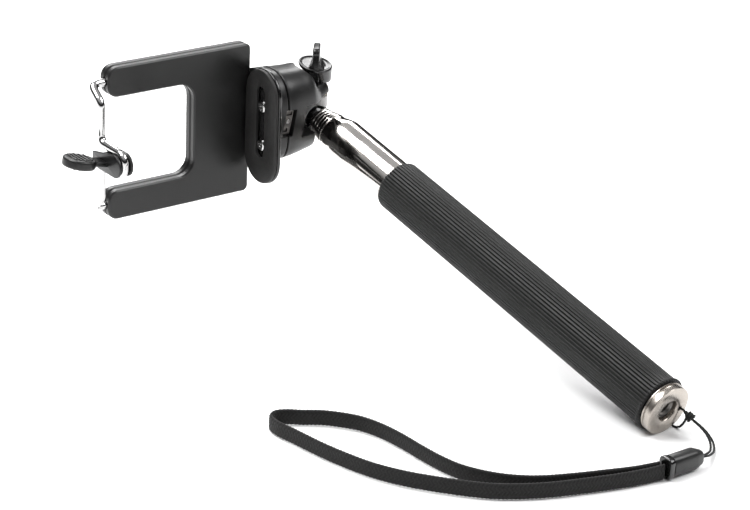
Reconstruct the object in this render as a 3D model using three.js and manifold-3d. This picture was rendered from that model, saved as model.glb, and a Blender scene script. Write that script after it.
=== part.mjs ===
import * as THREE from "three";
import { mergeVertices } from "three/addons/utils/BufferGeometryUtils.js";
import Module from "manifold-3d";

// Selfie stick, millimetres. Stand frame: X across the phone clamp from the wire side to the fixed
// jaw, Y away from the grip, Z up from the surface it lies on. ORIGIN moves it to the grip.
const ORIGIN = [93.08, -105.74, 25.49];

// Pole, measured along its axis from the face of the end cap.
const POLE_FOOT = [95.9, -177.2, 8.5];
const POLE_DIRECTION = [-0.0383, 0.9722, 0.2311];
const POLE_SIDES = 24;
const CAP_RADIUS = 8.85;
const CAP_RIM = 3.3;
const CAP_SPIGOT_RADIUS = 7.3;
const CAP_SPIGOT_END = 15;
const CAP_BORE = 3.8;
const CAP_EDGE = 0.5;
const INSERT_RADIUS = 3.6;
const INSERT_BORE = 2.7;
const INSERT_TOP = 1.6;
const INSERT_END = 12;
const CORD_HOLE_RADIUS = 0.95;
// Line of the hole from the cap's face to its rim, on the pole's own axes.
const CORD_HOLE = [
  [5.5, -1, -0.6],
  [5.55, 1.2, -1.0],
  [5.75, 1.75, -3.3],
  [5.5, 1.75, -6.0],
  [5.6, 1.75, -9.5],
];
const GRIP_RADIUS = 9.27;
const GRIP_LIP_RADIUS = 9.7;
const GRIP_BORE = 8.3;
const GRIP_START = 3.6;
const GRIP_END = 139.2;
const TUBE_RADIUS = 8.1;
const TUBE_BORE = 7.6;
const TUBE_START = 3.7;
const SHOULDER_START = 170.5;
const MOUTH = 176.7;
const MOUTH_RADIUS = 6.75;
const MOUTH_BORE = 6.4;
const SECTION_RADII = [6.2, 5.5, 4.8, 4.1, 3.4];
const COLLAR_RADII = [6.6, 6.2, 5.85, 5.5, 5.2];
const SECTION_WALL = 0.35;
const SECTION_FOOT = 20;
const SECTION_FOOT_PITCH = 5;
const COLLAR_START = 176.95;
const COLLAR_PITCH = 1.7;
const COLLAR_LENGTH = 1.45;
const BUSH_FLANGE = 2;
const BUSH_SPIGOT = 2.5;
const BUSH_FIT = 0.12;

// Ball joint. Its centre lies on the pole's axis.
const BALL_AT = 189.9;
const BALL_RADIUS = 4.75;
const BALL_NECK = 3.2;
const STUD_FOOT = 174;
const STUD_RADIUS = 2.85;
const LINER_INNER = 4.9;
const LINER_OUTER = 5.5;
const LINER_MOUTH_ANGLE = 72;
const BALL_SIDES = 20;

// Head casings as rounded sections across X: x, front y, back y, top z, bottom z.
const BASE_SECTIONS = [
  [62.0, -7.6, 17.0, 74.7, 41.2],
  [67.2, -7.3, 17.0, 74.4, 41.5],
];
const HOUSING_SECTIONS = [
  [67.5, -7.3, 17.0, 74.4, 41.5],
  [71.2, -7.0, 17.0, 74.0, 41.8],
  [76.0, -6.0, 17.0, 73.6, 42.3],
  [80.6, -4.8, 17.0, 73.0, 42.7],
  [83.4, -3.4, 16.8, 71.6, 43.0],
  [86.2, -1.5, 16.4, 68.6, 43.4],
  [88.6, 0.2, 15.4, 66.2, 44.9],
  [91.0, 2.2, 13.8, 65.2, 48.6],
  [93.2, 4.2, 11.6, 63.8, 54.6],
  [94.4, 6.0, 9.6, 62.0, 58.0],
];
const SECTION_POINTS = 28;
const SLOT_TOP = 61.5;
const SLOT_FLOOR = 50.3;
// Left edge of the slot at its floor and at its top.
const SLOT_LEFT = [73.6, 75.9];
const SLOT_REACH = 24;
const SLOT_BOTTOM = 38;
// Places clear of the head, where a cut can start or end.
const BEYOND_X = 100;
const BEFORE_Y = -20;
const ABOVE_Z = 90;

// Knob and its screw, on a vertical axis just beyond the ball.
const KNOB_AT = [90.2, 7.2];
const KNOB_RINGS = [
  [90.8, 7.1, 65.4, 4.0, 0],
  [90.6, 7.1, 66.2, 4.4, 0.1],
  [89.2, 7.2, 70.0, 5.75, 0.9],
  [88.6, 7.2, 71.2, 6.15, 1],
  [88.6, 7.2, 72.0, 6.25, 1],
  [88.6, 7.2, 72.3, 5.9, 1],
];
const DISC_SLOPE = [-0.087, 0.111];
const FIN_Z = [71.6, 78.8];
const FIN_HALF = 5.0;
const FIN_THICKNESS = 2.6;
const FIN_TURN = 0.9;
// Rib that carries the fin's near end down the knob's cone: along the fin, and z.
const RIB = [[-4.2, 65.9], [-5.6, 71.0], [-5.6, 73.0], [0, 73.0], [0, 65.9]];
const RIB_THICKNESS = 2.2;
const SCREW_RADIUS = 1.6;
const SCREW_TOP = 70;
const SCREW_TIP = 60.1;
const NUT_RADIUS = 3.2;
const NUT_Z = [60.4, 63.7];
// Conical seat for the knob in the casing: radius and height.
const KNOB_SEAT = [
  [0, 65.1],
  [5.4, 65.1],
  [6, 67.2],
  [7.2, 70],
  [8.4, 71.4],
  [9.4, 73.2],
  [9.4, ABOVE_Z],
  [0, ABOVE_Z],
];
const SHOE_RADIUS = 3.7;
const SHOE_TOP = 59.8;
const SHOE_ABOVE_BALL = 3.5;

// Fixed jaw: stadium plates in the YZ plane.
const JAW_Y = -0.9;
const JAW_Z = [43.7, 67.1];
const PAD_RADIUS = 9.5;
const PAD_X = [59.1, 60.3];
const PLATE_RADIUS = 9.75;
const PLATE_X = [60.5, 61.7];
const PAD_SLOT_RADIUS = 2.5;
const PLATE_SCREW_Z = [48.4, 62.8];
const PLATE_SCREW_HOLE = 1.45;
// Half profile of the jaw screws: radius and x.
const PLATE_SCREW = [[0, 59.3], [1.7, 59.3], [2.1, 59.7], [2.1, 60.4], [1.2, 60.4], [1.2, 66.9], [0, 67.0]];

// Small window beside the seam: corners in x and z.
const WINDOW = [[64.3, 52.4], [69.0, 52.1], [71.0, 61.7], [66.3, 62.0]];
const WINDOW_DEPTH = -3.2;
const BRACKET_Y = [-5.4, -3.5];
const PIN_AT = [68.2, -4.7, 57.2];
const PIN_RADIUS = 0.85;
const PIN_LENGTH = 1.7;

// Back frame, its two halves joined on the plane of the wire's legs.
const ROD_Y = 12.2;
const ROD_Z = [32.6, 77.8];
const WIRE_RADIUS = 1.5;
const FRAME_Y = [9.5, 15.3];
const ARM_HALF = 5.4;
const ARM_X = 3;
const WEB_X = 38;
const FRAME_END_X = 61.7;
const ROD_BORE = 1.8;
const SPRING_BORE = 2.35;
const SPRING_X = [8, 56.4];
const ROD_END_X = 58.8;
const COVER_SCREWS = [[44, 41.4], [44, 69.1], [57, 41.4], [57, 69.1]];
// Half profile of the cover screws: radius and y.
const COVER_SCREW = [[0, 10.9], [0.7, 10.9], [0.7, 14.4], [1.7, 14.4], [1.7, 15.2], [0, 15.2]];
const SPRING_COILS = 9;
const SPRING_STEPS = 8;
const SPRING_RADIUS = 1.94;
const SPRING_WIRE = 0.19;
const STOP_RADIUS = 2.15;

// Wire jaw and its mouldings.
const WIRE_X = -2.3;
const LOOP_Z = 55.2;
const LOOP_RADIUS = 3.65;
const LOOP_TIP_Y = -9.7;
const PADDLE_AT = [-14.3, -0.2, 55.9];
const PADDLE_RADIUS = 5.8;
const PADDLE_THICKNESS = 3.3;
const PADDLE_TILT = 0.21;

const COLOURS = {
  steel: 0xc9cdd0,
  nickel: 0xb9b2a3,
  black: 0x1a1b1c,
  rubber: 0x131313,
  grey: 0xb9bbb8,
  brass: 0xb08d4a,
  web: 0x161616,
};

const wasm = await Module();
wasm.setup();

const root = new THREE.Group();
root.name = "selfie_stick";

function vec(x, y, z) {
  return new THREE.Vector3(x, y, z);
}

// Welds a geometry, drops its flat triangles and turns it to face outwards.
function closed(geometry) {
  const bare = geometry.clone();
  bare.deleteAttribute("normal");
  bare.deleteAttribute("uv");
  const welded = mergeVertices(bare, 1e-4);
  const place = welded.getAttribute("position");
  const kept = [];
  let volume = 0;
  for (let i = 0; i < welded.index.count; i += 3) {
    const [a, b, c] = [0, 1, 2].map((k) => welded.index.getX(i + k));
    if (a !== b && b !== c && c !== a) {
      kept.push(a, b, c);
      const [p, q, r] = [a, b, c].map((k) => new THREE.Vector3().fromBufferAttribute(place, k));
      volume += p.dot(q.cross(r));
    }
  }
  if (volume < 0) {
    kept.reverse();
  }
  welded.setIndex(kept);
  welded.computeVertexNormals();
  return welded;
}

function solid(geometry) {
  const mesh = closed(geometry);
  const vertProperties = new Float32Array(mesh.getAttribute("position").array);
  const triVerts = new Uint32Array(mesh.index.array);
  return new wasm.Manifold(new wasm.Mesh({ numProp: 3, vertProperties, triVerts }));
}

function fromSolid(body) {
  const mesh = body.getMesh();
  const geometry = new THREE.BufferGeometry();
  geometry.setAttribute("position", new THREE.Float32BufferAttribute(mesh.vertProperties, 3));
  geometry.setIndex(Array.from(mesh.triVerts));
  return geometry;
}

function cut(geometry, tools) {
  return fromSolid(tools.reduce((body, tool) => body.subtract(solid(tool)), solid(geometry)));
}

function join(geometries) {
  const [first, ...rest] = geometries.map(solid);
  return fromSolid(rest.reduce((body, other) => body.add(other), first));
}

function add(name, geometry, colour, metalness = 0, roughness = 0.5) {
  const shape = closed(geometry);
  shape.translate(-ORIGIN[0], -ORIGIN[1], -ORIGIN[2]);
  const material = new THREE.MeshStandardMaterial({ color: COLOURS[colour], metalness, roughness });
  const mesh = new THREE.Mesh(shape, material);
  mesh.name = name;
  root.add(mesh);
}

// Turns a profile of [radius, height] points round the Y axis.
function lathe(points, sides = POLE_SIDES) {
  return new THREE.LatheGeometry(points.map(([r, h]) => new THREE.Vector2(r, h)), sides);
}

function ring(outer, bore, from, to, sides = POLE_SIDES) {
  return lathe([[outer, from], [outer, to], [bore, to], [bore, from], [outer, from]], sides);
}

function rod(radius, from, to, sides = POLE_SIDES) {
  return lathe([[0, from], [radius, from], [radius, to], [0, to]], sides);
}

// The pole's own axes: X level, Y along the pole, Z across it.
const along = vec(...POLE_DIRECTION).normalize();
const across = vec(0, 0, 1).cross(along).normalize().negate();
const upward = across.clone().cross(along);
const poleFrame = new THREE.Matrix4().makeBasis(across, along, upward).setPosition(...POLE_FOOT);

function onPole(geometry) {
  return geometry.applyMatrix4(poleFrame);
}

function polePoint(a, distance, b) {
  return vec(a, distance, b).applyMatrix4(poleFrame);
}

const BALL = polePoint(0, BALL_AT, 0);

// Moves a shape turned round Y so that its axis runs along X, or up along Z.
function alongX(geometry, y, z) {
  return geometry.rotateZ(-Math.PI / 2).translate(0, y, z);
}

function upZ(geometry, x, y) {
  return geometry.rotateX(Math.PI / 2).translate(x, y, 0);
}

// Skin over closed rings of equal count, with a fan on each end.
function loft(rings) {
  const count = rings[0].length;
  const points = rings.flat();
  const middle = (loop) => loop.reduce((sum, p) => sum.add(p), vec(0, 0, 0)).divideScalar(count);
  points.push(middle(rings[0]), middle(rings[rings.length - 1]));
  const index = [];
  for (let k = 0; k + 1 < rings.length; k += 1) {
    for (let i = 0; i < count; i += 1) {
      const j = (i + 1) % count;
      const [a, b] = [k * count + i, k * count + j];
      index.push(a, b, b + count, a, b + count, a + count);
    }
  }
  const last = (rings.length - 1) * count;
  for (let i = 0; i < count; i += 1) {
    const j = (i + 1) % count;
    index.push(points.length - 2, j, i);
    index.push(points.length - 1, last + i, last + j);
  }
  const geometry = new THREE.BufferGeometry();
  const flat = points.flatMap((p) => [p.x, p.y, p.z]);
  geometry.setAttribute("position", new THREE.Float32BufferAttribute(flat, 3));
  geometry.setIndex(index);
  return geometry;
}

// Section swept along points; outline is a list of [sideways, upwards] pairs.
function sweep(points, outline, up = vec(0, 0, 1)) {
  let normal = up.clone();
  const rings = points.map((p, k) => {
    const before = points[Math.max(k - 1, 0)];
    const after = points[Math.min(k + 1, points.length - 1)];
    const tangent = after.clone().sub(before).normalize();
    normal = normal.clone().addScaledVector(tangent, -normal.dot(tangent)).normalize();
    const side = tangent.clone().cross(normal);
    return outline.map(([s, t]) => p.clone().addScaledVector(side, s).addScaledVector(normal, t));
  });
  return loft(rings);
}

function circle(radius, sides) {
  return Array.from({ length: sides }, (_, i) => {
    const turn = (i / sides) * 2 * Math.PI;
    return [radius * Math.cos(turn), radius * Math.sin(turn)];
  });
}

// Polyline with its corners rounded.
function rounded(points, radius, steps) {
  const result = [points[0]];
  for (let k = 1; k + 1 < points.length; k += 1) {
    const into = points[k - 1].clone().sub(points[k]);
    const out = points[k + 1].clone().sub(points[k]);
    const half = into.angleTo(out) / 2;
    const reach = Math.min(radius / Math.tan(half), into.length() * 0.49, out.length() * 0.49);
    const from = points[k].clone().addScaledVector(into.normalize(), reach);
    const to = points[k].clone().addScaledVector(out.normalize(), reach);
    const bend = new THREE.QuadraticBezierCurve3(from, points[k], to);
    result.push(...bend.getPoints(steps));
  }
  result.push(points[points.length - 1]);
  return result;
}

// Cord of one closed outline along a smooth line through the points.
function cord(points, outline, steps) {
  const shape = new THREE.Shape(outline.map(([x, y]) => new THREE.Vector2(x, y)));
  const extrudePath = new THREE.CatmullRomCurve3(points, false, "centripetal");
  return new THREE.ExtrudeGeometry(shape, { steps, extrudePath, bevelEnabled: false });
}

// Flat shape in the YZ plane, extruded from one x to another.
function slab(shape, [from, to], bevel = 0) {
  const settings = { depth: to - from - 2 * bevel, bevelEnabled: bevel > 0, curveSegments: 8 };
  settings.bevelThickness = bevel;
  settings.bevelSize = bevel;
  settings.bevelOffset = -bevel;
  settings.bevelSegments = 1;
  const geometry = new THREE.ExtrudeGeometry(shape, settings).translate(0, 0, bevel);
  const frame = new THREE.Matrix4().makeBasis(vec(0, 1, 0), vec(0, 0, 1), vec(1, 0, 0));
  return geometry.applyMatrix4(frame).translate(from, 0, 0);
}

// Flat shape in the XZ plane, extruded from one y to another.
function wall(shape, [from, to], bevel = 0) {
  const settings = { depth: to - from - 2 * bevel, bevelEnabled: bevel > 0, curveSegments: 4 };
  settings.bevelThickness = bevel;
  settings.bevelSize = bevel;
  settings.bevelOffset = -bevel;
  settings.bevelSegments = 1;
  const geometry = new THREE.ExtrudeGeometry(shape, settings).translate(0, 0, bevel);
  const frame = new THREE.Matrix4().makeBasis(vec(1, 0, 0), vec(0, 0, 1), vec(0, -1, 0));
  return geometry.applyMatrix4(frame).translate(0, to, 0);
}

function stadium(y, low, high, radius, Kind = THREE.Shape) {
  const shape = new Kind();
  shape.moveTo(y + radius, low);
  shape.lineTo(y + radius, high);
  shape.absarc(y, high, radius, 0, Math.PI, false);
  shape.lineTo(y - radius, low);
  shape.absarc(y, low, radius, Math.PI, 2 * Math.PI, false);
  return shape;
}

function roundedBox(left, low, right, high, radius) {
  const shape = new THREE.Shape();
  shape.moveTo(left + radius, low);
  shape.lineTo(right - radius, low);
  shape.absarc(right - radius, low + radius, radius, -Math.PI / 2, 0, false);
  shape.lineTo(right, high - radius);
  shape.absarc(right - radius, high - radius, radius, 0, Math.PI / 2, false);
  shape.lineTo(left + radius, high);
  shape.absarc(left + radius, high - radius, radius, Math.PI / 2, Math.PI, false);
  shape.lineTo(left, low + radius);
  shape.absarc(left + radius, low + radius, radius, Math.PI, 1.5 * Math.PI, false);
  return shape;
}

// Four-cornered shape, drawn in towards its middle.
function leaning(corners, inset) {
  const x = corners.reduce((sum, c) => sum + c[0], 0) / 4;
  const z = corners.reduce((sum, c) => sum + c[1], 0) / 4;
  const shape = new THREE.Shape();
  corners.forEach(([cx, cz], k) => {
    const place = [cx - Math.sign(cx - x) * inset, cz - Math.sign(cz - z) * inset];
    if (k === 0) {
      shape.moveTo(...place);
    } else {
      shape.lineTo(...place);
    }
  });
  return shape;
}

// Pole: outer tube, grip, end cap with its thread and drilled cord hole.
function buildHandle() {
  const tube = [
    [TUBE_RADIUS, TUBE_START],
    [TUBE_RADIUS, SHOULDER_START],
    [7.75, 172.6],
    [6.95, 175.4],
    [MOUTH_RADIUS, MOUTH],
    [MOUTH_BORE, MOUTH],
    [MOUTH_BORE, 175.2],
    [TUBE_BORE, 171],
    [TUBE_BORE, TUBE_START],
    [TUBE_RADIUS, TUBE_START],
  ];
  add("outer_tube", onPole(lathe(tube)), "steel", 1, 0.15);
  const grip = [
    [GRIP_LIP_RADIUS - 0.3, GRIP_START],
    [GRIP_LIP_RADIUS, GRIP_START + 0.4],
    [GRIP_LIP_RADIUS, GRIP_START + 1.0],
    [GRIP_RADIUS, GRIP_START + 1.5],
    [GRIP_RADIUS, GRIP_END - 0.6],
    [GRIP_RADIUS - 0.35, GRIP_END],
    [GRIP_BORE, GRIP_END],
    [GRIP_BORE, GRIP_START],
    [GRIP_LIP_RADIUS - 0.3, GRIP_START],
  ];
  add("grip_sleeve", onPole(lathe(grip)), "rubber", 0, 0.85);
  const cap = [
    [CAP_RADIUS - CAP_EDGE, 0],
    [CAP_RADIUS, CAP_EDGE],
    [CAP_RADIUS, CAP_RIM],
    [CAP_SPIGOT_RADIUS, CAP_RIM],
    [CAP_SPIGOT_RADIUS, CAP_SPIGOT_END],
    [CAP_BORE, CAP_SPIGOT_END],
    [CAP_BORE, 0],
    [CAP_RADIUS - CAP_EDGE, 0],
  ];
  const line = rounded(CORD_HOLE.map((p) => vec(...p)), 1, 3);
  const drill = sweep(line, circle(CORD_HOLE_RADIUS, 12), vec(1, 0, 0.1));
  add("end_cap", onPole(cut(lathe(cap), [drill])), "nickel", 1, 0.3);
  const insert = [
    [0, INSERT_END],
    [0, INSERT_END - 1],
    [INSERT_BORE, INSERT_END - 1],
    [INSERT_BORE, INSERT_TOP + 0.4],
    [INSERT_BORE + 0.35, INSERT_TOP],
    [INSERT_RADIUS, INSERT_TOP],
    [INSERT_RADIUS, INSERT_END],
    [0, INSERT_END],
  ];
  add("thread_insert", onPole(lathe(insert)), "steel", 1, 0.3);
}

function buildSections() {
  SECTION_RADII.forEach((radius, k) => {
    const name = `section_${k + 1}`;
    const foot = SECTION_FOOT + SECTION_FOOT_PITCH * k;
    const start = COLLAR_START + COLLAR_PITCH * k;
    const parentBore = k === 0 ? TUBE_BORE : SECTION_RADII[k - 1] - SECTION_WALL;
    const bore = radius - SECTION_WALL;
    add(`${name}_tube`, onPole(ring(radius, bore, foot, start + COLLAR_LENGTH - 0.1)), "steel", 1, 0.15);
    const outer = COLLAR_RADII[k];
    const end = start + COLLAR_LENGTH;
    const inner = radius + 0.1;
    add(`${name}_collar`, onPole(ring(outer, inner, start, end)), "steel", 1, 0.15);
    const plug = [
      [0, foot - BUSH_FLANGE],
      [parentBore - BUSH_FIT, foot - BUSH_FLANGE],
      [parentBore - BUSH_FIT, foot - 0.1],
      [bore - 0.1, foot - 0.1],
      [bore - 0.1, foot + BUSH_SPIGOT],
      [0, foot + BUSH_SPIGOT],
    ];
    add(`${name}_bush`, onPole(lathe(plug)), "grey", 0, 0.6);
  });
}

function buildBall() {
  const profile = [[0, STUD_FOOT], [STUD_RADIUS, STUD_FOOT], [STUD_RADIUS, 185.3], [BALL_NECK, 185.5]];
  const first = Math.asin(BALL_NECK / BALL_RADIUS);
  const steps = 8;
  for (let k = 0; k < steps; k += 1) {
    const turn = first + ((Math.PI - first) * k) / steps;
    profile.push([BALL_RADIUS * Math.sin(turn), BALL_AT - BALL_RADIUS * Math.cos(turn)]);
  }
  profile.push([0, BALL_AT + BALL_RADIUS]);
  add("ball_stud", onPole(lathe(profile, BALL_SIDES)), "black", 0, 0.3);
  const liner = [];
  const mouth = THREE.MathUtils.degToRad(LINER_MOUTH_ANGLE);
  const turns = 6;
  for (let k = 0; k <= turns; k += 1) {
    const turn = mouth + ((Math.PI - mouth) * k) / turns;
    liner.push([k < turns ? LINER_OUTER * Math.sin(turn) : 0, BALL_AT - LINER_OUTER * Math.cos(turn)]);
  }
  for (let k = turns; k >= 0; k -= 1) {
    const turn = mouth + ((Math.PI - mouth) * k) / turns;
    liner.push([k < turns ? LINER_INNER * Math.sin(turn) : 0, BALL_AT - LINER_INNER * Math.cos(turn)]);
  }
  liner.push(liner[0]);
  add("socket_liner", onPole(lathe(liner, BALL_SIDES)), "grey", 0, 0.5);
}

// One rounded section of the head casing.
function casingRing([x, front, back, top, bottom]) {
  const middle = bottom + (top - bottom) * 0.46;
  return Array.from({ length: SECTION_POINTS }, (_, i) => {
    const turn = ((i + 0.5) / SECTION_POINTS) * 2 * Math.PI;
    const [c, s] = [Math.cos(turn), Math.sin(turn)];
    const power = s > 0 ? 2 / 2.7 : 2 / 3.4;
    const half = s > 0 ? top - middle : middle - bottom;
    const y = (front + back) / 2 + ((back - front) / 2) * Math.sign(c) * Math.abs(c) ** power;
    return vec(x, y, middle + half * Math.sign(s) * Math.abs(s) ** power);
  });
}

// Sphere round the ball's centre.
function ballRoom(radius) {
  return new THREE.SphereGeometry(radius, BALL_SIDES, 12).translate(BALL.x, BALL.y, BALL.z);
}

// Cuts that make the slot in the casing, the room for the pole's swing and the socket.
function slotTools() {
  const window = new THREE.Shape();
  window.moveTo(SLOT_LEFT[0], SLOT_FLOOR);
  window.lineTo(BEYOND_X, SLOT_FLOOR);
  window.lineTo(BEYOND_X, SLOT_TOP);
  window.lineTo(SLOT_LEFT[1], SLOT_TOP);
  const front = wall(window, [BEFORE_Y, BALL.y - LINER_OUTER - 0.6]);
  const swing = (inset, from, to) => {
    const shape = new THREE.Shape();
    shape.moveTo(-5.6, -3.9 * inset);
    shape.lineTo(-6.2, -6.3);
    shape.lineTo(-7.0, -11);
    shape.lineTo(-9, -16);
    shape.lineTo(-9, -SLOT_REACH);
    shape.lineTo(SLOT_REACH, -SLOT_REACH);
    shape.lineTo(SLOT_REACH, -0.8 * inset);
    shape.lineTo(6.9, -0.8 * inset);
    shape.lineTo(2.1, -3.6 * inset);
    shape.lineTo(-0.7, -4.1 * inset);
    const prism = new THREE.ExtrudeGeometry(shape, { depth: to - from, bevelEnabled: false });
    return prism.translate(BALL.x, BALL.y, from);
  };
  const deep = wall(roundedBox(80.6, 50, BEYOND_X, 59.5, 1.5), [BEFORE_Y, BALL.y - 1]);
  const high = swing(0.8, SLOT_BOTTOM, SLOT_TOP);
  const low = swing(0.55, SLOT_BOTTOM, BALL.z - 3);
  return [front, deep, high, low, ballRoom(LINER_OUTER + 0.2)];
}

function buildHead() {
  const [kx, ky] = KNOB_AT;
  const housing = loft(HOUSING_SECTIONS.map(casingRing));
  const pocket = wall(leaning(WINDOW, 0), [BEFORE_Y, WINDOW_DEPTH]);
  const shoeBore = upZ(rod(SHOE_RADIUS + 0.2, BALL.z + 2, SHOE_TOP + 0.4), kx, ky);
  const nutBore = upZ(rod(NUT_RADIUS + 0.1, SHOE_TOP + 0.2, NUT_Z[1] + 0.2), kx, ky);
  const screwBore = upZ(rod(SCREW_RADIUS + 0.25, SHOE_TOP + 0.2, ABOVE_Z), kx, ky);
  const seat = upZ(lathe(KNOB_SEAT), kx, ky);
  const bores = [shoeBore, nutBore, screwBore, seat];
  add("ball_housing", cut(housing, [...slotTools(), pocket, ...bores]), "black", 0, 0.4);
  const screwHole = (z) => alongX(rod(PLATE_SCREW_HOLE, 55, 67.9, 16), JAW_Y, z);
  const base = loft(BASE_SECTIONS.map(casingRing));
  const baseTools = [pocket, ...PLATE_SCREW_Z.map(screwHole)];
  add("base_shell", cut(base, baseTools), "black", 0, 0.4);
  const bracket = wall(leaning(WINDOW, 0.3), BRACKET_Y);
  const pinHole = rod(PIN_RADIUS + 0.2, -3, 3, 12).translate(...PIN_AT);
  const slotCut = (x, low, high) => wall(roundedBox(x, low, x + 2.6, high, 0.3), [-6, -4.3]);
  const bracketTools = [pinHole, slotCut(65.4, 53.4, 55.0), slotCut(67.4, 59.4, 60.8)];
  add("window_bracket", cut(bracket, bracketTools), "steel", 1, 0.35);
  const pin = rod(PIN_RADIUS, -PIN_LENGTH / 2, PIN_LENGTH / 2, 12).translate(...PIN_AT);
  add("bracket_pin", pin, "steel", 1, 0.25);

  const nut = ring(NUT_RADIUS, SCREW_RADIUS + 0.2, ...NUT_Z);
  add("insert_nut", upZ(nut, kx, ky), "brass", 1, 0.35);
  const screw = [
    [0, SCREW_TIP],
    [SCREW_RADIUS - 0.4, SCREW_TIP],
    [SCREW_RADIUS, SCREW_TIP + 0.5],
    [SCREW_RADIUS, SCREW_TOP],
    [0, SCREW_TOP],
  ];
  add("clamp_screw", upZ(lathe(screw, 20), kx, ky), "steel", 1, 0.3);
  const shoe = upZ(rod(SHOE_RADIUS, BALL.z + SHOE_ABOVE_BALL, SHOE_TOP), kx, ky);
  add("clamp_shoe", cut(shoe, [ballRoom(LINER_OUTER + 0.35)]), "grey", 0, 0.5);

  const rings = KNOB_RINGS.map(([x, y, z, radius, tilt]) => {
    const slope = ([dx, dy]) => (DISC_SLOPE[0] * dx + DISC_SLOPE[1] * dy) * tilt;
    return circle(radius, POLE_SIDES).map((p) => vec(x + p[0], y + p[1], z + slope(p)));
  });
  const [disc] = KNOB_RINGS.slice(-1);
  const finShape = roundedBox(-FIN_HALF, FIN_Z[0], FIN_HALF, FIN_Z[1], 1.8);
  const fin = wall(finShape, [-FIN_THICKNESS / 2, FIN_THICKNESS / 2], 0.5);
  const ribShape = new THREE.Shape(RIB.map(([x, z]) => new THREE.Vector2(x, z)));
  const rib = wall(ribShape, [-RIB_THICKNESS / 2, RIB_THICKNESS / 2]);
  [fin, rib].forEach((piece) => piece.rotateZ(FIN_TURN).translate(disc[0] + 0.5, disc[1], 0));
  const knobBore = upZ(rod(SCREW_RADIUS + 0.15, 60, SCREW_TOP + 0.15, 20), kx, ky);
  const knob = join([loft(rings), fin, rib]);
  add("knob", cut(knob, [knobBore]), "black", 0, 0.4);
}

function buildFixedJaw() {
  const pad = stadium(JAW_Y, ...JAW_Z, PAD_RADIUS);
  pad.holes.push(stadium(JAW_Y, JAW_Z[0] + 2.6, JAW_Z[1] + 1, PAD_SLOT_RADIUS, THREE.Path));
  add("jaw_pad", slab(pad, PAD_X), "rubber", 0, 0.8);
  const plate = slab(stadium(JAW_Y, ...JAW_Z, PLATE_RADIUS), PLATE_X, 0.3);
  const holes = PLATE_SCREW_Z.map((z) => alongX(rod(PLATE_SCREW_HOLE, 60, 65, 16), JAW_Y, z));
  add("jaw_plate", cut(plate, holes), "black", 0, 0.2);
  PLATE_SCREW_Z.forEach((z, k) => {
    const screw = alongX(lathe(PLATE_SCREW, 20), JAW_Y, z);
    add(`plate_screw_${k + 1}`, screw, "steel", 1, 0.2);
  });
}

function rodTool(z, radius, from, to) {
  return alongX(rod(radius, from, to, 12), ROD_Y, z);
}

function buildFrame() {
  const outline = new THREE.Shape();
  const [low, high] = ROD_Z;
  const r = 4;
  outline.moveTo(ARM_X + r, low - ARM_HALF);
  outline.lineTo(FRAME_END_X - 2, low - ARM_HALF);
  outline.absarc(FRAME_END_X - 2, low - ARM_HALF + 2, 2, -Math.PI / 2, 0, false);
  outline.lineTo(FRAME_END_X, high + ARM_HALF - 2);
  outline.absarc(FRAME_END_X - 2, high + ARM_HALF - 2, 2, 0, Math.PI / 2, false);
  outline.lineTo(ARM_X + r, high + ARM_HALF);
  outline.absarc(ARM_X + r, high + ARM_HALF - r, r, Math.PI / 2, Math.PI, false);
  outline.lineTo(ARM_X, high - ARM_HALF + r);
  outline.absarc(ARM_X + r, high - ARM_HALF + r, r, Math.PI, 1.5 * Math.PI, false);
  outline.lineTo(WEB_X - 6, high - ARM_HALF);
  outline.absarc(WEB_X - 6, high - ARM_HALF - 6, 6, Math.PI / 2, 0, true);
  outline.lineTo(WEB_X, low + ARM_HALF + 6);
  outline.absarc(WEB_X - 6, low + ARM_HALF + 6, 6, 0, -Math.PI / 2, true);
  outline.lineTo(ARM_X + r, low + ARM_HALF);
  outline.absarc(ARM_X + r, low + ARM_HALF - r, r, Math.PI / 2, Math.PI, false);
  outline.absarc(ARM_X + r, low - ARM_HALF + r, r, Math.PI, 1.5 * Math.PI, false);
  const seam = 0.15;
  const front = wall(outline, [FRAME_Y[0], ROD_Y - seam], 0.5);
  const back = wall(outline, [ROD_Y + seam, FRAME_Y[1]], 0.5);
  const channels = ROD_Z.flatMap((z) => [
    rodTool(z, ROD_BORE, -5, ROD_END_X + 1),
    rodTool(z, SPRING_BORE, SPRING_X[0] - 0.3, ROD_END_X + 1),
  ]);
  const drill = (radius, from, to) => {
    return COVER_SCREWS.map(([x, z]) => rod(radius, from, to, 10).translate(x, 0, z));
  };
  add("back_frame", cut(front, [...channels, ...drill(0.9, 10.6, 16)]), "black", 0, 0.45);
  const sinks = drill(2.0, 14.2, 16);
  add("back_cover", cut(back, [...channels, ...drill(1.1, 11, 16), ...sinks]), "black", 0, 0.45);
  COVER_SCREWS.forEach(([x, z], k) => {
    add(`cover_screw_${k + 1}`, lathe(COVER_SCREW, 16).translate(x, 0, z), "steel", 1, 0.3);
  });
}

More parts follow.
